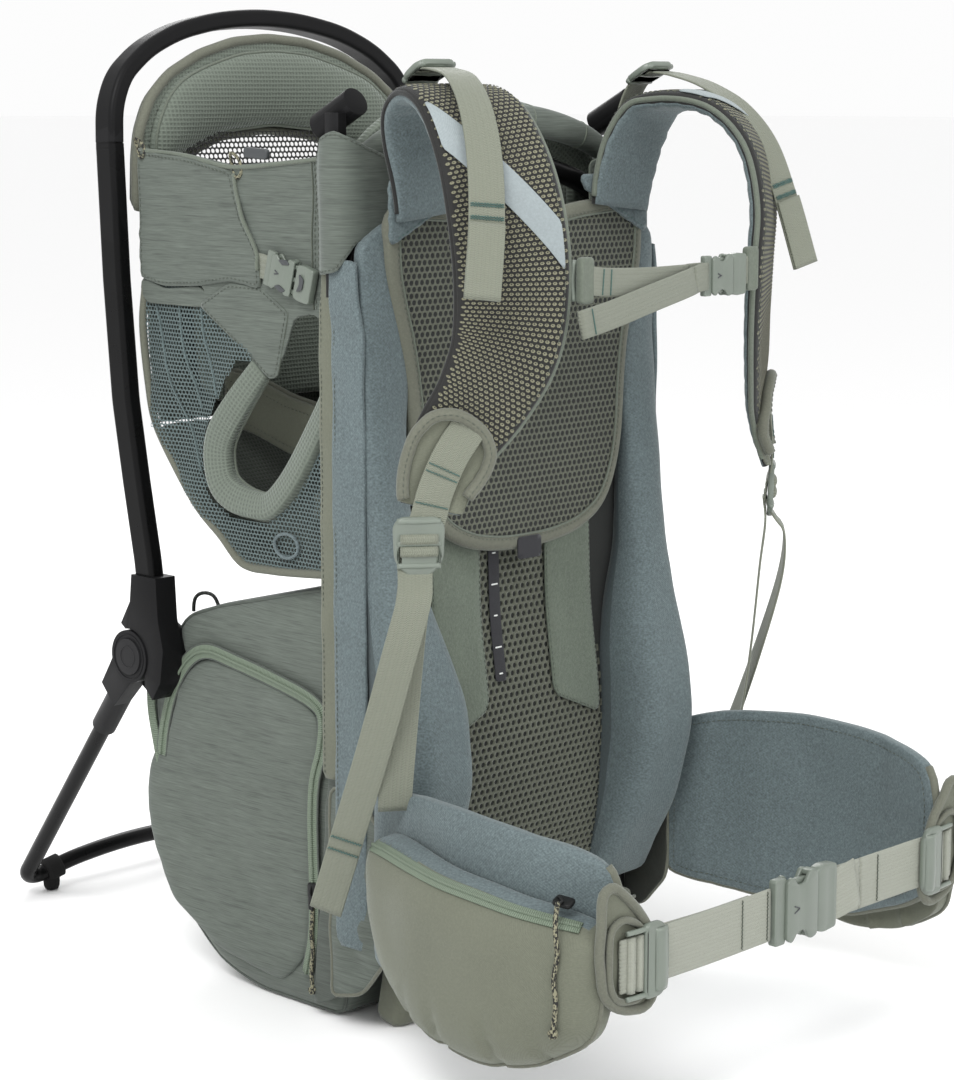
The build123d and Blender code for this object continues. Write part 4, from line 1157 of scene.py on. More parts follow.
S_bag = lambda u, v: np.stack([0 * u, u, v], -1)
bag = Pillow(bag_side, S_bag, 294, 268, 18, 9, nwall=20, warp=bag_warp)
b = B()
bag.put(b, "heather", "heather", "heather")
b.add(g_tube(bag.rim(2.0, side=-1, lift=0.2), 1.5, 7, closed=True), "heather_shade_seam")
b.add(g_tube(bag.rim(2.0, side=1, lift=0.2), 1.5, 7, closed=True), "heather_shade_seam")
for x in (-92, 92):
    pr = respace(cat(bag_side, 2, True), 8, True, 2)
    pr = pr[(pr[:, 0] > -80)]
bag_o = b.make("storage_bag_shell", "frame", "heather_fabric", "storage_bag")

b = B()
pocket = rounded([(110, 192), (100, 226), (82, 250), (60, 258), (29, 255), (-13, 248), (-52, 238), (-63, 226), (-62, 205), (-54, 180), (-52, 150), (-53, 96), (-48, 44), (-20, 16), (56, 26), (112, 58), (134, 100), (140, 140), (130, 176)], 12)
S_left = lambda x0: (lambda u, v: np.stack([x0 + 0 * u, u, v], -1))
pk = Pillow(pocket, S_left(-146.3), 9, 2.0, 16, 6, warp=lambda P: P + np.stack([-0.9 * wr(P[..., 1], P[..., 2], 25, 1.5) - 0.5 * wr(P[..., 1], P[..., 2], 26, 3.0), 0 * P[..., 1], 0 * P[..., 1]], -1))
pk.put(b, "heather", "heather", "heather")
zo = np.array([(118, 172), (113, 199), (101, 230), (82, 254), (60, 263.5), (29, 260), (-13, 253), (-57, 243), (-70, 231), (-68, 207), (-60, 182), (-57.5, 150), (-58.5, 96), (-57, 60), (-50, 30)], float)
zt = nrm(np.gradient(zo, axis=0))
zr = Rib(np.stack([np.full(len(zo), -150.0), zo[:, 0], zo[:, 1]], 1), 10.5, np.stack([0 * zt[:, 0], -zt[:, 1], zt[:, 0]], 1), 2.0, 4)
b.add(zr.all(14, 0.4), "zip")
vv = np.linspace(0, zr.L[-1], 160)
b.add(g_tube(zr.at(0 * vv, vv, 0.4), 1.5, 7, flat=0.8), "zip")
b.add(g_tube(zr.at(0 * vv, vv, 0.4, side=-1), 1.5, 7, flat=0.8), "zip")
for sg in (-1, 1):
    b.add(g_tube(zr.at(sg * 5.4 + 0 * vv, vv, 0.1), 0.9, 6), "heather_shade_seam")
# second short zip near the rear edge
z2 = Rib([(-147.5, 133, 226), (-148.5, 131, 205), (-148.3, 126, 182), (-147.8, 121, 160)], 7, (0.35, -0.94, 0.2), 2.0, 4)
b.add(z2.all(12, 0.4), "zip")
b.mirror()
b.make("bag_zip_pockets", "frame", "zip_green")

# zip sliders with pullers
for side, sgn in (("left", 1), ("right", -1)):
    b = B()
    b.add(g_plate(rrect(9, 13, 3), [], (-151.9, -59, 97), (0, 1, 0), (0, 0, 1), 3.2, 0.9), "slider")
    b.add(g_tube(np.array([(-153.2, -59, 101), (-154.6, -59, 97), (-153.2, -59, 91)]), 0.9, 7, step=1), "slider")
    b.add(g_plate(rrect(5, 11, 2), [rrect(2.2, 4, 1, cy=-2)], (-153.6, -59, 88), (0, 1, 0), (0, 0, 1), 1.6, 0.4), "slider")
    b.make("bag_slider_" + side, "bag_slider_" + side, "buckle_dark", "bag_zip_slider_" + side, sign=sgn)

# ============================================================ pole sleeves, corner covers, side pockets
b = B()
sl = Rib([(-147.5, -100, 246), (-148.5, -100.5, 330), (-149, -100, 420), (-148.8, -99, 500), (-148.5, -97, 545)], [20, 22, 22.5, 22, 21], (0.15, -1, 0), [21, 22, 22, 22, 21], 6)
b.add(sl.all(20, 0.75), "khaki")
vv = np.linspace(1, sl.L[-1] - 1, 100)
b.add(stitches(sl.at(8.6 + 0 * vv, vv, 0.2, side=-1)), "thread")
b.add(stitches(sl.at(8.6 + 0 * vv, vv, 0.2, side=1)), "thread")
low = Rib([(-147, -98, 246), (-147.2, -97, 180), (-147.5, -97, 110), (-147.5, -96, 40)], [20, 21, 22, 20], (0.15, -1, 0), [20, 21, 22, 18], 8)
b.add(low.all(20, 0.75), "heather")
b.mirror()
b.make("pole_sleeve_covers", "frame", "khaki_fabric", "pole_sleeves")

b = B()
arc = cat([(-151.6, -66), (-157, -80), (-166.5, -93), (-166.5, -108), (-156, -115), (-132, -114), (-98, -110.5)], 8)
aL = np.r_[0, np.cumsum(np.linalg.norm(np.diff(arc, axis=0), axis=1))]
S_arc = lambda u, v: np.stack([np.interp(u, aL, arc[:, 0]), np.interp(u, aL, arc[:, 1]), v + 0 * u], -1)
E = aL[-1]
cc = Pillow(rounded([(12, 560), (30, 561), (46, 564), (60, 584), (E, 590), (E, 636), (70, 652), (44, 663), (22, 655), (10, 645)], 3), S_arc, 2.6, 1.4, 3, 5, extra=lambda u, v: 0.8 * wr(u, v, 31, 1.4))
cc.put(b, "heather", "heather", "bind_s")
b.add(stitches(cc.rim(2.0, lift=0.3), closed=True), "thread")
b.mirror()
b.make("corner_covers", "frame", "heather_fabric")

b = B()
spk = Pillow(rounded([(-88, 24), (-121, 32), (-146, 62), (-146, 158), (-112, 188), (-88, 184)], 8), S_left(-158.6), 4.5, 2.0, 8, 6, warp=lambda P: P + np.stack([-1.3 * wr(P[..., 1], P[..., 2], 33, 2.2), 0 * P[..., 1], 0 * P[..., 1]], -1))
# inner face in the dark khaki: painted shade inside the pocket
spk.put(b, "khaki_shaded", "heather", "bind")
b.add(g_tube(spk.rim(0.5, side=-1), 1.5, 7, closed=True), "bind")
sp2 = Pillow(rounded([(-86, 20), (-60, 8), (-84, 240), (-100, 240)], 5), S_left(-152.2), 3, 1.5, 5, 8, warp=lambda P: P + np.stack([-1.0 * wr(P[..., 1], P[..., 2], 34, 1.6), 0 * P[..., 1], 0 * P[..., 1]], -1))
# strip behind the side pocket in the darker heather copy: painted shade between parts
sp2.put(b, "heather_shade_seam", "heather_shade_seam", "bind")
b.mirror()
b.make("side_elastic_pockets", "frame", "heather_fabric", "side_pockets")

# blue side faces that wrap the frame tube, and the khaki strip behind them
b = B()
sb = Pillow(rounded([(-95, 66), (-95, 572), (-122, 572), (-127, 520), (-128, 300), (-127, 66)], 2.5), S_left(-160.2), 4.0, 2.0, 5, 9, warp=lambda P: P + np.stack([-0.8 * wr(P[..., 1], P[..., 2], 61, 1.3) - 2.4 * np.clip((P[..., 2] - 520) / 22, 0, 1), 0 * P[..., 1], 0 * P[..., 1]], -1))
sb.put(b, "blue", "blue", "blue")
b.add(stitches(np.array([(-162.0, -98.5, z) for z in np.linspace(72, 572, 60)])), "thread")
b.mirror()
b.make("blue_side_faces", "frame", "blue_fabric")
b = B()
ks = Pillow(rounded([(-80, 190), (-80, 530), (-84, 566), (-95, 566), (-96, 190)], 2.5), S_left(-158.6), 3.4, 1.6, 4, 8, warp=lambda P: P + np.stack([-0.7 * wr(P[..., 1], P[..., 2], 62, 1.6), 0 * P[..., 1], 0 * P[..., 1]], -1))
ks.put(b, "khaki", "khaki", "bind")
b.add(stitches(np.array([(-160.4, -83, z) for z in np.linspace(194, 560, 60)])), "thread")
b.mirror()
b.make("khaki_edge_strips", "frame", "khaki_fabric")

# ============================================================ back system
FP = [(-116, 598), (-119, 360), (-121, 300), (-130, 235), (-133, 200), (-129, 130), (-121, 86)]
fz, fy = np.array([z for y, z in FP][::-1], float), np.array([y for y, z in FP][::-1], float)
fzs = np.linspace(80, 600, 261)
fys = np.convolve(np.pad(np.interp(fzs, fz, fy), 8, mode="edge"), np.ones(17) / 17, "valid")
f = lambda v: np.interp(v, fzs, fys)


def S_back(off):
    return lambda u, v: np.stack([u, f(v) - off + 0 * u, v], -1)


b = B()
bm_o = rounded([(-90, 88), (90, 88), (104, 250), (120, 290), (134, 340), (138, 420), (138, 596), (-138, 596), (-138, 420), (-134, 340), (-120, 290), (-104, 250)], 5)
bk = Pillow(bm_o, S_back(-3.0), 2.4, 1.4, 4, 12)
# rear face and edges in the dark khaki: painted shade
bk.put(b, "dark", "khaki_shaded", "khaki_shaded")
b.add(g_perf(S_back(-0.9), (-92, 92, 87, 362), lambda u, v: (np.abs(u) < 91) & ((v < 262) | (np.abs(u) < 40)), 6.2, 5.4, 2.3, 2.1, 0.6, 1.2, 0.9), "khaki_m")
b.make("back_spacer_mesh", "frame", "khaki_mesh", "back_mesh")

b = B()
lp = Pillow(rounded([(-36, 556), (-36, 236), (-40, 228), (-86, 208), (-88, 216), (-88, 556)], 3), S_back(1.6), 2.4, 0.8, 2.5, 7)
lp.put(b, "loop", "dark", "bind_s")
b.add(stitches(lp.rim(1.4, lift=0.2), closed=True), "thread")
b.mirror()
b.make("hook_loop_covers", "frame", "dark_panel", "hook_loop_panels")

b = B()
lb = Pillow(rrect(11.5, 108, 1.2, cx=-20, cy=302), S_back(1.0), 1.0, 0.5, 1, 5)
lb.put(b, "label", "label", "label")
for z in (346, 322, 298, 274, 254):
    lbk = Pillow(rrect(7.5 if z in (322, 274) else 4.5, 1.2, 0.3, cx=-20, cy=z), S_back(1.6), 0.5, 0.3, 0.5, 2)
    lbk.put(b, "tick", "tick", "tick")
b.make("scale_strip", "frame", "dark_panel", "size_scale_strip")

fr = np.array([(-125, 596), (-129, 520), (-132, 466), (-146, 358), (-160, 296), (-176, 247), (-182, 200), (-166, 138), (-134, 81), (-122, 62)], float)[::-1]
frz = np.linspace(60, 598, 270)
fry = np.convolve(np.pad(np.interp(frz, fr[:, 1], fr[:, 0]), 6, mode="edge"), np.ones(13) / 13, "valid")
front = lambda v: np.interp(v, frz, fry)
S_bol = lambda u, v: np.stack([u, (front(v) - 112.0) / 2 + 0 * u, v], -1)
bol_o = rounded([(92, 64), (92, 200), (93, 250), (101, 290), (117, 340), (122, 420), (113, 500), (106, 602), (132, 597), (158, 583), (158.5, 420), (158.5, 200), (158, 64)], 9)
for side, sgn in (("right", 1), ("left", -1)):
    b = B()
    bo = Pillow(bol_o, S_bol, lambda u, v: -(front(v) + 112.0), 7.0, 17, 6, extra=lambda u, v: 0.7 * wr(u, v, 41, 1.2))
    # underside in the darker blue: painted shade between bolster and frame
    bo.put(b, "blue", "blue_shaded", "blue")
    o = b.make("bolster_cover_" + side, "frame", "blue_fabric", "bolster_" + side, sign=sgn)

b = B()
S_lum = lambda u, v: np.stack([u, -114 - 10 * np.clip(v / 50, 0, 1) - 3 * (1 - (u / 132) ** 2), v], -1)
lu = Pillow(rounded([(-131, 0.3), (131, 0.3), (131, 54), (90, 60), (-90, 60), (-131, 54)], 7), S_lum, 30, 14, 12, 8, extra=lambda u, v: 0.9 * wr(u, v, 43, 1.3) * np.clip(v / 20, 0, 1), warp=lambda P: np.stack([P[..., 0], P[..., 1], np.maximum(P[..., 2], 0.2)], -1))
lu.put(b, "khaki", "khaki", "khaki")
b.add(g_tube(np.array([(x, -141 - 2 * (1 - (x / 132) ** 2), 50) for x in np.linspace(-124, 124, 40)]), 1.6, 7), "bind")
o = b.make("lumbar_pad", "frame", "khaki_fabric", "lumbar_base")

# padded grab handle and collar roll
b = B()
gh = Rib([(-131, -97, 643), (-104, -97, 655), (-70, -97, 664), (-30, -97, 669), (30, -97, 669), (70, -97, 664), (104, -97, 655), (131, -97, 643)], [16, 20, 22, 23, 23, 22, 20, 16], (0, 0, 1), [15, 18, 20, 21, 21, 20, 18, 15], 5)
b.add(gh.all(20, 0.85), "heather")
for v in (34, gh.L[-1] - 34, gh.L[-1] / 2 - 42, gh.L[-1] / 2 + 42):
    a = np.linspace(0, 2 * math.pi, 28, endpoint=False)
    i = int(v / gh.L[-1] * (len(gh.P) - 1))
    b.add(g_tube(gh.P[i] + gh.x[i] * (np.cos(a)[:, None] * gh.W[i] / 2 * 1.0) + gh.n[i] * (np.sin(a)[:, None] * gh.T[i] / 2), 0.8, 6, closed=True), "bind_s")
o = b.make("grab_handle_cover", "frame", "heather_fabric", "grab_handle")
b = B()
co_ = Rib([(-124, -80, 600), (-118, -81, 632), (-92, -78, 655), (-50, -75, 668), (0, -74, 672), (50, -75, 668), (92, -78, 655), (118, -81, 632), (124, -80, 600)], [30, 34, 34, 34, 34, 34, 34, 34, 30], (0.0, 0.1, 1), 14, 6)
co_ = Rib(co_.P, 30, np.stack([-co_.t[:, 2], 0 * co_.t[:, 0], co_.t[:, 0]], 1), 13, 6, smooth=False)
b.add(co_.all(20, 0.7), "waffle")
b.make("collar_roll", "frame", "sage_waffle")

# ============================================================ yoke
yoke_o = rounded([(92, 372), (107, 400), (114, 430), (117, 470), (122, 505), (132, 540), (137, 562), (138, 600), (128, 611), (60, 606), (0, 595), (-60, 606), (-128, 611), (-138, 600), (-137, 562), (-132, 540), (-122, 505), (-117, 470), (-114, 430), (-107, 400), (-92, 372), (-62, 356), (-25, 350), (25, 350), (62, 356)], 16)


def S_yoke(u, v):
    y = np.interp(v, [340, 500, 620], [-130.2, -126.4, -126.2])
    return np.stack([u, y - 1.2 * np.clip(1 - (u / 130) ** 2, 0, 1), v], -1)


yo = Pillow(yoke_o, S_yoke, 8.4, 4.5, 10, 8)
b = B()
# underside in the darker blue: painted shade between yoke and back panel
yo.put(b, "dark", "blue_shaded", "bind")
inner_d = lambda u, v, lim: dist(yo.O, np.stack([u, v], 1)) > lim
mk = lambda u, v: inside(yo.O, u, v) & inner_d(u, v, 9) & (v < 588 + (129 - np.abs(u)) * 0.5)
Sy_top = lambda u, v: S_yoke(u, v) + surf_n(S_yoke, u, v) * 4.3
b.add(g_perf(Sy_top, (-140, 140, 350, 615), mk, 5.3, 4.7, 2.15, 2.05, 0.5, 2.2, 0.9), "khaki_m")
# wide binding: inner and outer lines with a domed strip between
O = yo.O
tO = np.roll(O, -1, 0) - np.roll(O, 1, 0)
nO = nrm(np.stack([-tO[:, 1], tO[:, 0]], 1))
prof = [(0.0, -3.6), (-1.2, 0.0), (-0.4, 3.2), (2.2, 5.4), (5.5, 5.9), (8.6, 5.6), (10.6, 4.6)]
rings = []
for ins, hh in prof:
    q = O + nO * ins
    rings.append(S_yoke(q[:, 0], q[:, 1]) + surf_n(S_yoke, q[:, 0], q[:, 1]) * hh)
m = len(O)
V = np.vstack(rings)
Fb = [(r * m + i, r * m + (i + 1) % m, (r + 1) * m + (i + 1) % m, (r + 1) * m + i) for r in range(len(rings) - 1) for i in range(m)]
Ub = np.vstack([np.stack([np.full(m, k * 3.0), np.arange(m) * 6.0], 1) for k in range(len(rings))])
b.add((V, Fb, Ub), "bind")
q = O + nO * 9.8
b.add(g_tube(S_yoke(q[:, 0], q[:, 1]) + surf_n(S_yoke, q[:, 0], q[:, 1]) * 5.3, 0.9, 6, closed=True), "bind_s")
q = O + nO * 7.6
b.add(stitches(S_yoke(q[:, 0], q[:, 1]) + surf_n(S_yoke, q[:, 0], q[:, 1]) * 6.0, closed=True), "thread")
# blue corners where the straps grow out of the yoke
for sg in (-1, 1):
    cor = rounded([(sg * 139, 582), (sg * 131, 585), (sg * 66, 617.5), (sg * 62, 628), (sg * 140, 628)], 3)
    cp = Pillow(cor, lambda u, v: S_yoke(u, v) + np.array([0, -6.4, 0]), 4.4, 2.0, 6, 5, extra=lambda u, v: 0.7 * np.sin(v * 2 * math.pi / 6.5 + u * 0.08))
    cp.put(b, "blue", "blue", "blue")
    b.add(stitches(np.array([(sg * 133, -135.2, 587.0), (sg * 100, -135.4, 603), (sg * 68, -135.2, 619.5)])), "teal")
# plain dark tag folded over the bottom edge
tg = Pillow(rrect(26, 17, 2, cx=2, cy=350), lambda u, v: S_yoke(u, v) + np.array([0, -6.2, 0]), 1.6, 0.8, 1.5, 4)
tg.put(b, "label", "label", "label")
o = b.make("yoke_cushion", "harness", "khaki_mesh", "yoke_pad")

# ============================================================ shoulder straps
C = [(104, -136.5, 602), (107, -138, 626), (114, -143, 655), (124, -158, 679), (132, -183, 688), (137, -211, 676), (139.5, -233, 645), (138.5, -245, 605),
     (136, -248, 562), (138, -245, 520), (150, -236, 485), (166, -224, 455), (177, -217.5, 430), (184.5, -217.5, 408)]
Wd = [66, 68, 72, 76, 78, 80, 82, 84, 84, 80, 71, 62, 54, 46]
Ph = [0, 0, 3, 8, 15, 22, 27, 31, 31, 31, 31, 33, 36, 38]
Th = [9, 12, 14, 15, 15, 15, 15, 15, 15, 14, 13, 11, 9, 7]
dirs = np.array([(math.cos(math.radians(a)), math.sin(math.radians(a)), 0) for a in Ph])
C_R = [(104, -136.5, 602), (107, -138, 626), (114, -143, 655), (123, -156, 678), (131, -183, 684), (137, -214, 675), (140, -238, 648), (139, -248, 606)] + C[8:]
for side, sgn in (("right", 1), ("left", -1)):
    ST = Rib(C_R if sgn > 0 else C, np.array(Wd) - 4.0, dirs, np.array(Th) - 1.0, 5)
    LS = ST.L[-1]
    b = B()
    V, top, bot, U = ST.geo(28, 0.42)
    # blue lining gathers into soft pleats over the top of the shoulder
    nn = np.repeat(ST.n, 28, axis=0)
    s_ = U[:, 1]
    amp = np.interp(s_, [0, 20, 60, 200, 260, LS], [0.2, 0.6, 1.1, 0.8, 0.5, 0.2]) * (1 - 0.75 * np.abs(U[:, 0] / 40) ** 3).clip(0, 1)
    under = ((V - np.repeat(ST.P, 28, axis=0)) * nn).sum(1) < -2
    V = V + nn * (under * amp * np.sin(s_ * 2 * math.pi / 7.5 + 0.8 * np.sin(U[:, 0] / 9)))[:, None]
    n0 = b.n
    b.add((V, top, U), "black_m")
    b.mats.append("blue")
    k = b.mats.index("blue")
    b.F += [tuple(int(i) + n0 for i in ff) for ff in bot]
    b.K += [k] * len(bot)
    b.sm += [True] * len(bot)
    S_st = lambda u, v: ST.at(u, v, 0.5, 5.0)
    halfw = lambda v: np.interp(v, ST.L, ST.W) / 2
    b.add(g_cells(S_st, (-44, 44, 2, LS - 40), lambda u, v: (np.abs(u) < halfw(v) - 2.4), 4.4, 3.2, 1.8, 1.12, 0.75, 0.1), "net")
    # edge rails: woven rail on the inner edge, narrow binding on the outer
    v = np.linspace(6, LS - 8, 150)
    b.add(g_tube(ST.at(-halfw(v) + 0.2, v, -2.0), 2.7, 8, flat=0.8), "bind_s")
    b.add(g_tube(ST.at(halfw(v) - 0.4, v, -2.0), 2.0, 8), "black_m")
    b.add(stitches(ST.at(-halfw(v) + 4.0, v, 1.2)), "thread")
    # bound lower end: khaki cap with a thick rolled rim round a recessed panel
    e0 = LS - 70
    oc = rounded([(-14, e0 + 2), (0, e0), (14, e0 + 2), (27, e0 + 12), (30, e0 + 26), (27, e0 + 46), (22, LS + 1), (-22, LS + 1), (-27, e0 + 46), (-30, e0 + 26), (-27, e0 + 12)], 6)
    cap = Pillow(oc, lambda u, v: ST.at(u, v, 1.0, 6.0), 2.6, 1.6, 5, 5, extra=lambda u, v: 0.4 * wr(u, v, 66, 2.4))
    cap.put(b, "khaki", "khaki", "bind")
    for lf_, rr_, in_ in ((0, 4.4, 2.4),):
        up_ = cap.rim(in_) if np.linalg.norm(cap.rim(0, lift=4.0).mean(0)[:2]) > np.linalg.norm(cap.rim(0, side=-1, lift=4.0).mean(0)[:2]) else cap.rim(in_, side=-1)
        nz_ = nrm(np.array([0.61, -0.79, 0.0]))
        up_ = up_ + nz_ * 1.6
        up_ = up_[up_[:, 2] > up_[:, 2].min() + 9]
        kk_ = int(np.argmax(np.linalg.norm(np.diff(np.vstack([up_, up_[:1]]), axis=0), axis=1))) + 1
        up_ = np.roll(up_, -kk_, axis=0)
        b.add(g_tube(up_, rr_, 12, step=3), "bind")
        b.add(stitches(up_ + nz_ * (rr_ + 0.1)), "thread")
    # reflective patch, slanting across under the webbing
    rp_ = Pillow(rounded([(-36, 118), (-36, 142), (36, 178), (36, 154)] if sgn > 0 else [(-36, 232), (-36, 262), (36, 172), (36, 135)], 2), lambda u, v: ST.at(u, v, 1.5, 5.0), 0.9, 0.5, 1, 5)
    rp_.put(b, "refl", "refl", "refl")
    o = b.make("shoulder_pad_" + side, "harness", "khaki_mesh", "shoulder_strap_" + side, sign=sgn)


def ladder(b, center, xdir, up, w_, h_, t_, mat="green", bars=3.2, point=0.0):
    """Ladder lock: an eased frame, pointed at one end, with two slots and rounded cross bars."""
    x, u_ = nrm(np.array(xdir, float)), np.array(up, float)
    u_ = nrm(u_ - x * (x @ u_))
    z = np.cross(x, u_)
    slot = (h_ - 3 * bars - 6) / 2
    o2 = rounded([(-w_ / 2 + 1, -h_ / 2 + 9), (-w_ / 4, -h_ / 2), (0, -h_ / 2 - point), (w_ / 4, -h_ / 2), (w_ / 2 - 1, -h_ / 2 + 9), (w_ / 2, h_ / 2 - 6), (w_ / 2 - 5, h_ / 2), (-w_ / 2 + 5, h_ / 2), (-w_ / 2, h_ / 2 - 6)], 6, 4)
    hs = [rrect(w_ - 9, slot, 1.6, 3, cy=s_ * (slot + bars) / 2 + 1.5) for s_ in (-1, 1)]
    c = np.array(center, float)
    b.add(g_plate(o2, hs, c, x, u_, t_, 1.4), mat)
    for yy in (1.5, 1.5 + slot + bars, 1.5 - slot - bars):
        b.add(g_tube(np.array([c - x * (w_ / 2 - 3) + u_ * yy + z * 0.8, c + u_ * yy + z * 1.4, c + x * (w_ / 2 - 3) + u_ * yy + z * 0.8]), 2.2, 8, step=3), mat)
    return x, u_, z


wl = np.array([0.79, 0.61, 0])
b = B()
ladder(b, (195.1, -216.8, 384), wl, (0.04, 0, 1), 36, 40, 4.6, point=5)
x, u_, z = ladder(b, (119, -150.5, 703), (0.99, 0.1, 0), (0.1, -0.86, 0.5), 36, 31, 5.0)
b.mirror()
b.make("strap_ladder_lock_frames", "harness", "buckle_green", "strap_ladder_locks")

# load lifter: anchor run, pass through the lock, free tail with two bar tacks and a folded end
b = B()
TAIL = {-1: ([(121, -160, 705.5), (127, -174, 705), (136, -200, 699.5), (146, -223, 680), (156, -241, 648), (167, -254, 606), (180, -262, 553)], [(0.99, 0.1, 0), (0.99, 0.1, 0), (0.97, 0.2, 0), (0.93, 0.35, 0), (0.87, 0.48, 0), (0.84, 0.53, 0), (0.82, 0.56, 0)]),
        1: ([(121, -160, 704.5), (126, -175, 702), (133, -198, 694.5), (140, -223, 679), (148, -243, 652), (157, -255, 612), (168, -266, 560)], [(0.99, 0.1, 0), (0.99, 0.08, 0), (1, 0.04, 0), (1, 0, 0), (1, -0.04, 0), (1, -0.08, 0), (1, -0.1, 0)])}
for sg_ in (-1, 1):
    q0 = len(b.V)
    tail = Rib(TAIL[sg_][0], 25, TAIL[sg_][1], [1.8, 1.8, 1.8, 1.8, 1.8, 1.9, 2.2], 4)
    b.add(tail.all(16, 0.3), "web")
    b.add(Rib(tail.P[-14:] + tail.n[-14:] * 2.0, 25, tail.D[-14:], 2.0, 4, smooth=False).all(16, 0.3), "web")
    for dv in (56, 65):
        for k in (0, 1.5):
            for sd in (1, -1):
                uu = np.linspace(-11.5, 11.5, 26)
                b.add(g_tube(tail.at(uu, 0 * uu + tail.L[-1] - dv + k + 0.8 * np.sin(uu * 3), 0.35, 20, sd), 0.5, 5), "teal")
    if sg_ < 0:
        for k_ in range(q0, len(b.V)):
            b.V[k_] = b.V[k_] * [-1, 1, 1]
anchors = B()
b, lifter_b = anchors, b
b.add(Rib([(112, -131.5, 650), (114, -133.5, 672), (117, -140, 692), (120, -149, 701.5), (122, -158, 704)], 25, (0.99, 0.1, 0), 1.8, 4).all(16, 0.3), "web")
b.mirror()
b.make("lifter_anchor_runs", "harness", "webbing")
lifter_b.make("lifter_straps", "harness", "webbing", "lifter_webbing")

# webbing from the padded end into the lower lock, and round its bars
b = B()
bb = ST.at(np.array([0.0]), np.array([LS - 66]), 4.0)[0]
bc_ = ST.at(np.array([0.0]), np.array([LS - 40]), 5.6)[0]
bd_ = ST.at(np.array([0.0]), np.array([LS - 12.0]), 5.6)[0]
wd = Rib([bb, bc_, bd_, (190.4, -220.5, 401), (193.2, -214.8, 390), (193.8, -213.3, 382), (194, -211.8, 374)], 25, wl, 1.9, 3)
b.add(wd.all(16, 0.3), "web")
nn_ = nrm(np.array([0.61, -0.79, 0.0]))
for zz_ in (388.5, 380.0):
    c_ = np.array([195.1, -216.8, zz_]) + nn_ * 1.7
    b.add(Rib([c_ - wl * 13, c_ + nn_ * 0.7, c_ + wl * 13], 7.4, (0, 0, 1), 5.4, 4).all(16, 0.95), "web")
for v0 in (36, 41, 62):
    uu = np.linspace(-11.5, 11.5, 22)
    b.add(g_tube(wd.at(uu, 0 * uu + v0 + 0.7 * np.sin(uu * 3), 0.35, 20), 0.45, 5), "teal")
b.mirror()
b.make("strap_end_webbing", "harness", "webbing")

b = B()
lw = Rib([(193.5, -211, 376), (194.5, -212.5, 356), (195.5, -207, 320), (196, -200, 260), (195, -193, 208), (193, -190, 192)], 24, wl, 1.8, 5)
b.add(lw.all(16, 0.3), "web")
b.mirror()
o = b.make("adjuster_run", None, "webbing", "adjuster_webbing")
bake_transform(o)
b = B()
lt = Rib([(194.2, -211.6, 380), (195.8, -213.4, 370), (199.5, -217.6, 360), (206, -222.5, 346), (212, -214, 308), (213, -190, 240), (213, -164, 175), (212, -138, 112)], 24, [(0.79, 0.61, 0)] * 3 + [(0.77, 0.63, 0), (0.7, 0.71, 0), (0.62, 0.78, 0), (0.56, 0.82, 0), (0.5, 0.86, 0)], [1.8] * 7 + [2.6], 5)
b.add(lt.all(16, 0.3), "web")
for v0 in (lt.L[-1] - 52, lt.L[-1] - 62):
    uu = np.linspace(-11, 11, 22)
    b.add(g_tube(lt.at(uu, 0 * uu + v0 + 0.7 * np.sin(uu * 3), 0.5, 20), 0.6, 5), "teal")
    b.add(g_tube(lt.at(uu, 0 * uu + v0 + 0.7 * np.sin(uu * 3), 0.5, 20, -1), 0.6, 5), "teal")
b.mirror()
o = b.make("adjuster_tail_straps", None, "webbing", "adjuster_tails")
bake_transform(o)


# ============================================================ side-release buckles
def socket_geo(b, o, x, y, L, W_, t_, mat="green", dark="grey"):
    """Socket: two waisted shells, a webbing bar at its back, mouth towards +x."""
    o, x, y = np.array(o, float), nrm(np.array(x, float)), nrm(np.array(y, float))
    z = np.cross(x, y)
    h = W_ / 2
    shell = rounded([(0, -h * 0.80), (L * 0.16, -h * 0.96), (L * 0.36, -h * 0.66), (L * 0.60, -h * 0.66), (L * 0.76, -h), (L, -h * 0.92), (L, h * 0.92), (L * 0.76, h), (L * 0.60, h * 0.66), (L * 0.36, h * 0.66), (L * 0.16, h * 0.96), (0, h * 0.80)], L * 0.09, 4)
    win = rounded([(L * 0.30, -h * 0.12), (L * 0.52, -h * 0.24), (L * 0.62, 0), (L * 0.52, h * 0.24), (L * 0.30, h * 0.12)], L * 0.05, 3)
    for s_ in (-1, 1):
        b.add(g_plate(shell, [], o + z * s_ * (t_ / 2 - t_ * 0.14), x, y, t_ * 0.28, 0.7), mat)
    # side rails at the mouth and back block
    for s_ in (-1, 1):
        b.add(g_plate(rrect(L * 0.22, h * 0.14, 0.6, 2, cx=L * 0.87, cy=s_ * h * 0.88), [], o, x, y, t_ * 0.7, 0.3), mat)
    b.add(g_plate(rrect(L * 0.16, h * 1.56, 1.0, 3, cx=L * 0.10), [], o, x, y, t_ * 0.7, 0.4), mat)
    # webbing loop at the back
    bar = rounded([(-L * 0.30, -h * 0.94), (L * 0.04, -h * 0.94), (L * 0.04, h * 0.94), (-L * 0.30, h * 0.94)], L * 0.07, 3)
    hole = rrect(L * 0.13, h * 1.62, 0.8, 3, cx=-L * 0.13)
    b.add(g_plate(bar, [hole], o, x, y, t_ * 0.55, 0.8), mat)
    b.add(g_tube(np.array([o + x * L * 0.22 - y * h * 0.1 + z * t_ * 0.51, o + x * L * 0.40 + z * t_ * 0.52, o + x * L * 0.22 + y * h * 0.1 + z * t_ * 0.51]), 0.5, 6, step=1.5), dark)


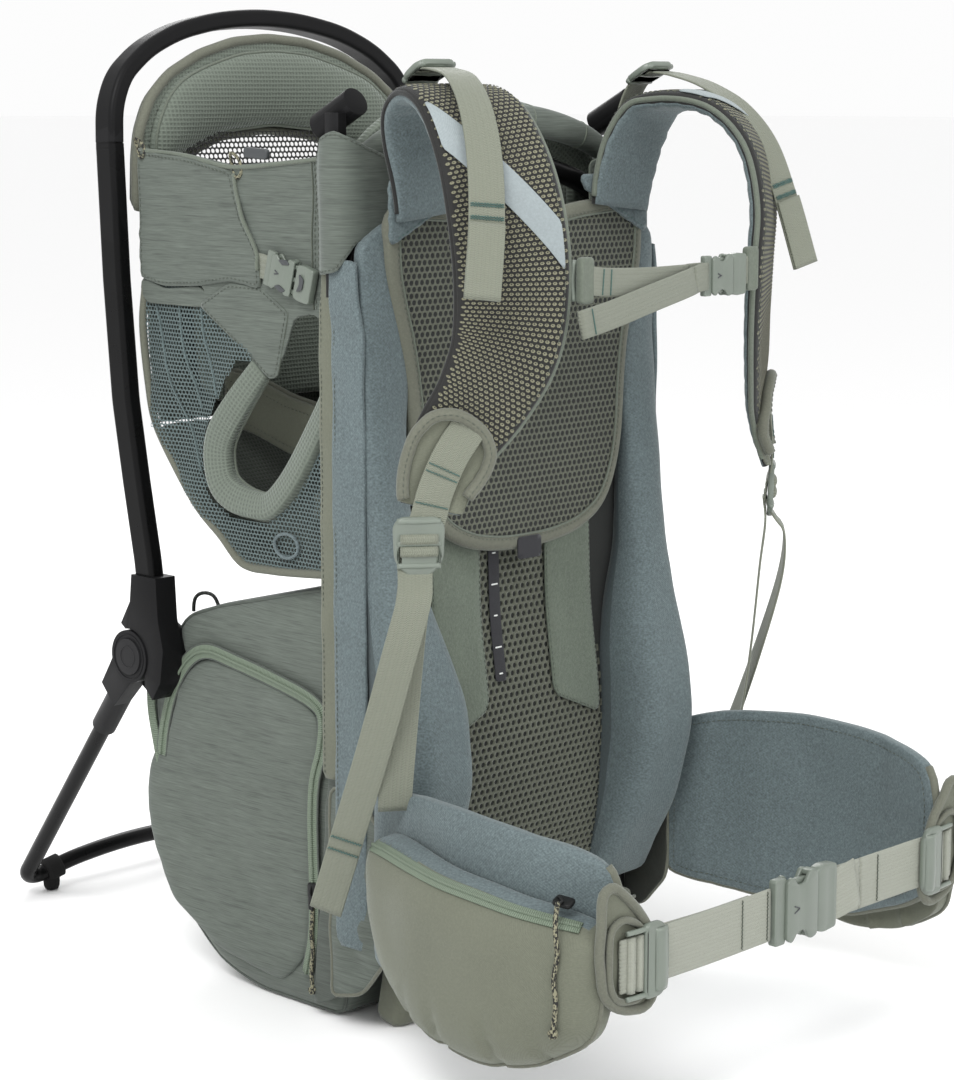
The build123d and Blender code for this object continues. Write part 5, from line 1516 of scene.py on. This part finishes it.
def tongue_geo(b, o, x, y, L, W_, t_, reach, mat="green"):
    """Tongue: base with webbing bar at its far end, three prongs reaching back towards -x."""
    o, x, y = np.array(o, float), nrm(np.array(x, float)), nrm(np.array(y, float))
    h = W_ / 2
    base = rounded([(0, -h * 0.90), (L * 0.35, -h), (L, -h * 0.94), (L, h * 0.94), (L * 0.35, h), (0, h * 0.90)], L * 0.14, 4)
    b.add(g_plate(base, [rrect(L * 0.24, h * 1.60, 0.8, 3, cx=L * 0.66)], o, x, y, t_ * 0.8, 1.0), mat)
    for s_ in (-1, 1):
        arm = rounded([(0.5, s_ * h * 0.80), (-reach * 0.45, s_ * h * 0.80), (-reach * 0.72, s_ * h * 0.82), (-reach, s_ * h * 0.58), (-reach * 0.90, s_ * h * 0.48), (-reach * 0.40, s_ * h * 0.58), (0.5, s_ * h * 0.56)], reach * 0.06, 3)
        b.add(g_plate(arm, [], o, x, y, t_ * 0.36, 0.5), mat)
    b.add(g_plate(rounded([(0.5, -h * 0.13), (0.5, h * 0.13), (-reach * 0.9, h * 0.07), (-reach * 0.9, -h * 0.07)], 1.0, 3), [], o, x, y, t_ * 0.36, 0.5), mat)


bd = np.array([0, -0.965, -0.262])
bn = np.array([0, -0.262, 0.965])
b = B()
socket_geo(b, np.array([-156.6, -29.0, 561.6]), bd, bn, 24, 28, 7.4, "green", "grey")
for s_ in (-1, 1):
    b.add(g_plate(rounded([(7, s_ * 10), (16, s_ * 12.6), (20, s_ * 9.6), (12, s_ * 7.4)], 2, 3), [], np.array([-160.5, -29.0, 561.6]), bd, bn, 1.0, 0.3), "grey")
b.mirror()
b.make("flap_buckle_socket_shells", "frame", "buckle_dark", "flap_buckle_sockets")
for side, sgn in (("left", 1), ("right", -1)):
    b = B()
    tongue_geo(b, np.array([-156.6, -54.8, 554.6]), bd, bn, 17.5, 27, 8.0, 13, "green")
    b.add(g_plate(rounded([(3, -7), (9, -4), (9, 4), (3, 7), (5.4, 0)], 2, 3), [], (-160.4, -54.8 - 1.0, 554.6 - 0.3), bd, bn, 1.2, 0.3), "grey")
    b.make("flap_buckle_prong_" + side, "flap_tongue_" + side, "buckle_green", "flap_buckle_tongue_" + side, sign=sgn)

# ============================================================ sternum strap
b = B()
for cx in (-91,):
    ring = rounded([(-6.5, -16), (6.5, -16), (6.5, 16), (-6.5, 16)], 3.5, 4)
    b.add(g_plate(ring, [rrect(6.4, 23, 2, 3, cx=1.2)], (cx, -274.6, 562), (1, 0, 0), (0, 0, 1), 6.0, 1.2), "bind_s")
    b.add(Rib([(cx - 5, -269.5, 548), (cx - 6, -268.5, 562), (cx - 5, -269.5, 576)], 7, (1, 0.3, 0), 4, 3).all(12, 0.6), "green")
b.mirror()
b.make("sternum_slider_rings", "sternum", "buckle_green", "sternum_sliders")
b = B()
up = Rib([(-90, -276.5, 562), (-70, -277.2, 560), (-30, -277.6, 558.5), (10, -277.2, 558.5), (18, -276.8, 558.8)], 20, (0, 0, 1), 1.7, 4)
b.add(up.all(14, 0.3), "web_e")
for v0 in (14, 22):
    uu = np.linspace(-9, 9, 16)
    b.add(g_tube(up.at(uu, 0 * uu + v0, 0.4, 20), 0.45, 5), "teal")
    b.add(g_tube(up.at(uu, 0 * uu + v0, 0.4, 20, -1), 0.45, 5), "teal")
b.make("sternum_fixed_run", "sternum", "webbing", "sternum_webbing")
b = B()
lo_ = Rib([(-101, -279.5, 532), (-70, -281.5, 538), (-30, -282.6, 547), (10, -281.4, 555), (22, -280, 557.5)], 20, [(0, 0.05, 1)] * 5, [2.6, 1.7, 1.7, 1.7, 1.7], 4)
b.add(lo_.all(14, 0.3), "web_e")
uu = np.linspace(-9, 9, 16)
b.add(g_tube(lo_.at(uu, 0 * uu + 12, 0.4, 20), 0.45, 5), "teal")
b.make("sternum_loose_tail", "sternum", "webbing")
b = B()
for P in ([(16, -276.8, 558.8), (26, -276.6, 559), (37, -276.5, 559)], [(20, -280.4, 557.2), (29, -279.6, 558.6), (38, -278.2, 559)]):
    b.add(Rib(P, 20, (0, 0, 1), 1.7, 3).all(14, 0.3), "web_e")
b.make("sternum_web_near_buckle", "sternum_socket", "webbing")
b = B()
socket_geo(b, np.array([40.5, -276.5, 559]), (1, 0, 0), (0, 0, 1), 23, 31, 9.0)
b.make("sternum_socket_shell", "sternum_socket", "buckle_green", "sternum_buckle_socket")
b = B()
tongue_geo(b, np.array([64.2, -276.5, 559]), (1, 0, 0), (0, 0, 1), 15.5, 31, 9.0, 16.5)
b.add(Rib([(75, -276.4, 560), (82, -276.4, 561), (91, -276.4, 562)], 20, (0, 0, 1), 1.8, 2).all(14, 0.3), "web_e")
b.make("sternum_tongue_shell", "sternum", "buckle_green", "sternum_buckle_tongue")

# ============================================================ hip belt
wp = cat([(160, -140), (167, -151), (172, -171), (184.5, -212), (197, -261), (198, -315), (190.5, -353), (180, -390)], 8)
wL = np.r_[0, np.cumsum(np.linalg.norm(np.diff(wp, axis=0), axis=1))]
s_of = lambda y: float(np.interp(-y, -wp[:, 1], wL))
S_wing = lambda u, v: np.stack([np.interp(u, wL, wp[:, 0]), np.interp(u, wL, wp[:, 1]), v + 0 * u], -1)
side_o = [(-143, 188), (-178, 200), (-210, 204), (-254, 206.5), (-311, 203.5), (-360, 197), (-382, 189), (-390, 165), (-390, 112), (-384, 92), (-360, 76), (-297, 52), (-213, 56), (-160, 62), (-143, 66)]
wing_o = rounded([(s_of(y), z) for y, z in side_o], 14)
pin = cat([(180.5, -172), (193.5, -209.5), (206, -260), (207, -315), (199, -354), (189, -392)], 8)
pL = np.r_[0, np.cumsum(np.linalg.norm(np.diff(pin, axis=0), axis=1))]
LP = pL[-1]
u_of = lambda y: LP - float(np.interp(-y, -pin[:, 1], pL))
S_pk = lambda u, v: np.stack([np.interp(LP - u, pL, pin[:, 0]), np.interp(LP - u, pL, pin[:, 1]), v + 0 * u], -1)
pk_o = rounded([(u_of(y), z) for y, z in [(-172, 172), (-207, 175), (-300, 166), (-366, 157), (-391, 150), (-391, 110), (-386, 74), (-345, 49), (-299, 39.5), (-235, 49), (-198, 76), (-173, 118)]], 16)


def pk_extra(u, v):
    e = 0.9 * wr(u, v, 52, 1.0)
    for u0, a in ((40, 0.25), (78, 0.1), (128, -0.1), (160, -0.25)):
        e = e - 4.6 * np.exp(-((u - u0 - a * (v - 50)) / 3.2) ** 2) * np.clip((90 - v) / 30, 0, 1)
    return e


for side, sgn in (("right", 1), ("left", -1)):
    b = B()
    wg = Pillow(wing_o, S_wing, 11.5, 6.5, 12, 6.5, extra=lambda u, v: 0.5 * wr(u, v, 51, 1.2) + 0.22 * np.sin(u * 2 * math.pi / 5.2) - 1.6 * np.exp(-((u - 40 - 0.05 * v) / 7) ** 2) - 1.3 * np.exp(-((u - 62) / 8) ** 2) - 1.0 * np.exp(-((u - 215 + 0.1 * v) / 7) ** 2))
    wg.put(b, "blue", "blue", "blue")
    mid_ = wg.rim(0.0) * 0.5 + wg.rim(0.0, side=-1) * 0.5
    low_ = mid_[(mid_[:, 2] < 150)]
    k0 = int(np.argmax(np.linalg.norm(np.diff(np.vstack([low_, low_[:1]]), axis=0), axis=1))) + 1
    low_ = np.roll(low_, -k0, axis=0)
    b.add(g_tube(low_, 3.0, 8), "bind")
    fr_ = mid_[(mid_[:, 1] < -376) & (mid_[:, 2] >= 92)]
    fr_ = fr_[np.argsort(fr_[:, 2])]
    b.add(g_tube(fr_, 3.4, 8), "bind")
    b.add(stitches(wg.rim(6.5, lift=0.4), closed=True), "thread")
    o = b.make("hip_wing_pad_" + side, "frame", "blue_fabric", "hip_wing_" + side, sign=sgn)

b = B()
pk = Pillow(pk_o, S_pk, 60, 5, 40, 6, bottom=0.02, extra=pk_extra, power=2.3)
f0_ = len(b.F)
pk.put(b, "khaki", "khaki", "bind")
b.mats.append("blue")
kb = b.mats.index("blue")
VV = np.vstack(b.V)
for i_, f_ in enumerate(b.F):
    c_ = VV[list(f_)].mean(0)
    if c_[2] > np.interp(-c_[1], [180, 200, 240, 300, 345, 380], [168, 169, 167, 161.5, 156.5, 152]) and c_[1] > -384:
        b.K[i_] = kb
rm_ = pk.rim(1.5, lift=0.0)
rm_ = rm_[rm_[:, 2] < 150]
k0 = int(np.argmax(np.linalg.norm(np.diff(np.vstack([rm_, rm_[:1]]), axis=0), axis=1))) + 1
b.add(g_tube(np.roll(rm_, -k0, axis=0), 1.8, 7), "bind")
b.mirror()
o = b.make("hip_pocket_bags", "frame", "khaki_fabric", "hip_pockets")

# zip along each pocket's shoulder
b = B()
zu = np.array([u_of(y) for y in (-186, -207, -240, -270, -300, -330, -355, -375)])
zv = np.array([171.5, 172.5, 170.5, 168, 165.0, 161.5, 158.5, 156.0]) - 4.5
zc = pk.at(zu, zv, 0.8)
zn = surf_n(lambda a_, b_: pk.at(a_, b_), zu, zv, 1.5)
zt3 = nrm(np.gradient(zc, axis=0))
zz = Rib(zc, 9.5, np.cross(zn, zt3), 1.8, 4)
b.add(zz.all(14, 0.4), "zip")
v = np.linspace(0, zz.L[-1], 120)
for sd in (-1, 1):
    b.add(g_tube(zz.at(0 * v, v, 0.4, side=sd), 1.4, 7, flat=0.8), "zip")
b.mirror()
b.make("hip_zips", "frame", "zip_green", "zip_tapes")
for side, sgn in (("left", 1), ("right", -1)):
    b = B()
    b.add(g_plate(rrect(10, 14, 3), [], (-207.5, -363, 165.5), (1, 0.2, 0.35), (-0.2, 1, 0.12), 3.4, 1.0), "slider")
    b.add(g_tube(np.array([(-207.5, -357, 167.0), (-209.5, -361, 169.4), (-212, -366, 167.8), (-214.2, -364.6, 166.2)]), 1.0, 7, step=1), "slider")
    b.make("hip_slider_" + side, "hip_slider_" + side, "buckle_dark", "hip_zip_slider_" + side, sign=sgn)

# bound front tabs: an open oval of padded cloth round the ladder lock
b = B()
S_tab = lambda u, v: np.stack([-u, -391.5 - 3.0 * np.clip((200 - u) / 40, 0, 1) + 0 * u, v], -1)
tab_o = rounded([(205, 178), (192, 181), (170, 160), (160, 146), (153, 130), (151.5, 100), (162, 88), (188, 92), (203, 104), (208, 124), (207, 150)], 10)
tb_ = Pillow(tab_o, S_tab, 4.0, 2.5, 5, 6, extra=lambda u, v: 0.5 * wr(u, v, 71, 2.0))
tb_.put(b, "khaki", "khaki", "bind")
rr_ = tb_.rim(1.5, lift=1.0, side=1) * 0.5 + tb_.rim(1.5, lift=1.0, side=-1) * 0.5
b.add(g_tube(rr_ + [0, -2.0, 0], 3.6, 9, closed=True), "bind")
mouth = rounded([(200, 152), (186, 157), (168, 148), (160, 132), (160, 106), (172, 97), (194, 101), (201, 116)], 9)
mr = respace(mouth, 4, True, 2)
b.add(g_tube(np.stack([-mr[:, 0], np.full(len(mr), -396.8), mr[:, 1]], 1), 2.5, 8, closed=True), "bind")
# two rolls of doubled webbing between the tab and the lock
for xx in (-181.0, -172.5):
    b.add(Rib([(xx, -398.4, 105), (xx, -398.6, 124), (xx, -398.4, 143)], 7.0, (1, 0, 0), 5.6, 4).all(14, 0.95), "web_w")
b.add(Rib([(-190, -396.4, 124), (-176, -398.0, 124), (-164, -399.4, 124)], 37, (0, 0, 1), 2.0, 3).all(16, 0.3), "web_w")
b.mirror()
b.make("hip_front_tabs", "frame", "khaki_fabric")
b = B()
lk = rounded([(-11, -26), (6, -26), (12.5, -17), (12.5, 17), (6, 26), (-11, 26)], 5, 4)
b.add(g_plate(lk, [rrect(5.6, 41, 1.5, 3, cx=-5.6)], (-159.5, -400.6, 124), (1, 0, 0), (0, 0, 1), 5.4, 1.8), "green")
b.add(Rib([(-161, -402.6, 124), (-155, -404.6, 124), (-149, -402.4, 124)], 44, (0, 0, 1), 3.0, 2).all(14, 0.6), "green")
for yy in (-22.5, 22.5):
    b.add(g_tube(np.array([(-186, -399.2, 124 + yy), (-176, -400.4, 124 + yy), (-166, -400.8, 124 + yy)]), 1.9, 8, step=2), "green")
b.mirror()
b.make("hip_lock_frames", "frame", "buckle_green", "hip_ladder_locks")
b = B()
for P, T in (([(-164, -399, 124), (-155, -397.2, 124), (-145, -396.3, 124), (-100, -396, 123.4), (-60, -396, 123.6), (-30, -396, 124)], 2.0), ([(-146, -393.2, 124), (-100, -393.6, 123), (-62, -394.2, 123.4), (-52, -394.6, 123.6)], 1.8)):
    b.add(Rib(P, 38, (0, 0, 1), T, 5).all(18, 0.25), "web_w")
for P in ([(164, -399, 124), (155, -397.2, 124), (146, -396.2, 124), (110, -396, 124), (74, -396, 124)],):
    b.add(Rib(P, 38, (0, 0, 1), 2.0, 5).all(18, 0.25), "web_w")
for xx in (-62, -34, 96):
    zz_ = np.linspace(106.5, 141.5, 30)
    b.add(g_tube(np.stack([xx + 0.6 * np.sin(zz_ * 2.2), np.full(30, -397.4), zz_], 1), 0.42, 5), "thread")
b.make("hip_webbing_runs", "frame", "webbing", "hip_webbing")
b = B()
socket_geo(b, np.array([-17.5, -396.5, 124.3]), (1, 0, 0), (0, 0, 1), 35, 51, 12.0)
b.make("hip_socket_shell", "frame", "buckle_green", "hip_buckle_socket")
b = B()
tongue_geo(b, np.array([18.8, -396.5, 124.3]), (1, 0, 0), (0, 0, 1), 23, 50, 11.0, 29)
b.add(Rib([(33, -395.6, 124), (40, -395.2, 124), (58, -395.8, 124), (74, -396, 124)], 38, (0, 0, 1), 1.9, 3).all(18, 0.25), "web_w")
b.add(Rib([(36, -398.4, 124), (44, -399.6, 124.5), (60, -400.4, 127), (66, -400.2, 128.5)], 38, (0, 0, 1), 1.9, 3).all(18, 0.25), "web_w")
b.make("hip_tongue_shell", "hip_tongue", "buckle_green", "hip_buckle_tongue")

# ============================================================ floor and end
me = bpy.data.meshes.new("floor")
me.from_pydata([(-60, -60, -0.0005), (60, -60, -0.0005), (60, 60, -0.0005), (-60, 60, -0.0005)], [], [(0, 1, 2, 3)])
fl_ = bpy.data.objects.new("floor", me)
sc.collection.objects.link(fl_)
g = G("floor_white", 0.9)
g.color((0.97, 0.97, 0.97))
g.b.inputs["Specular IOR Level"].default_value = 0.1
me.materials.append(g.m)
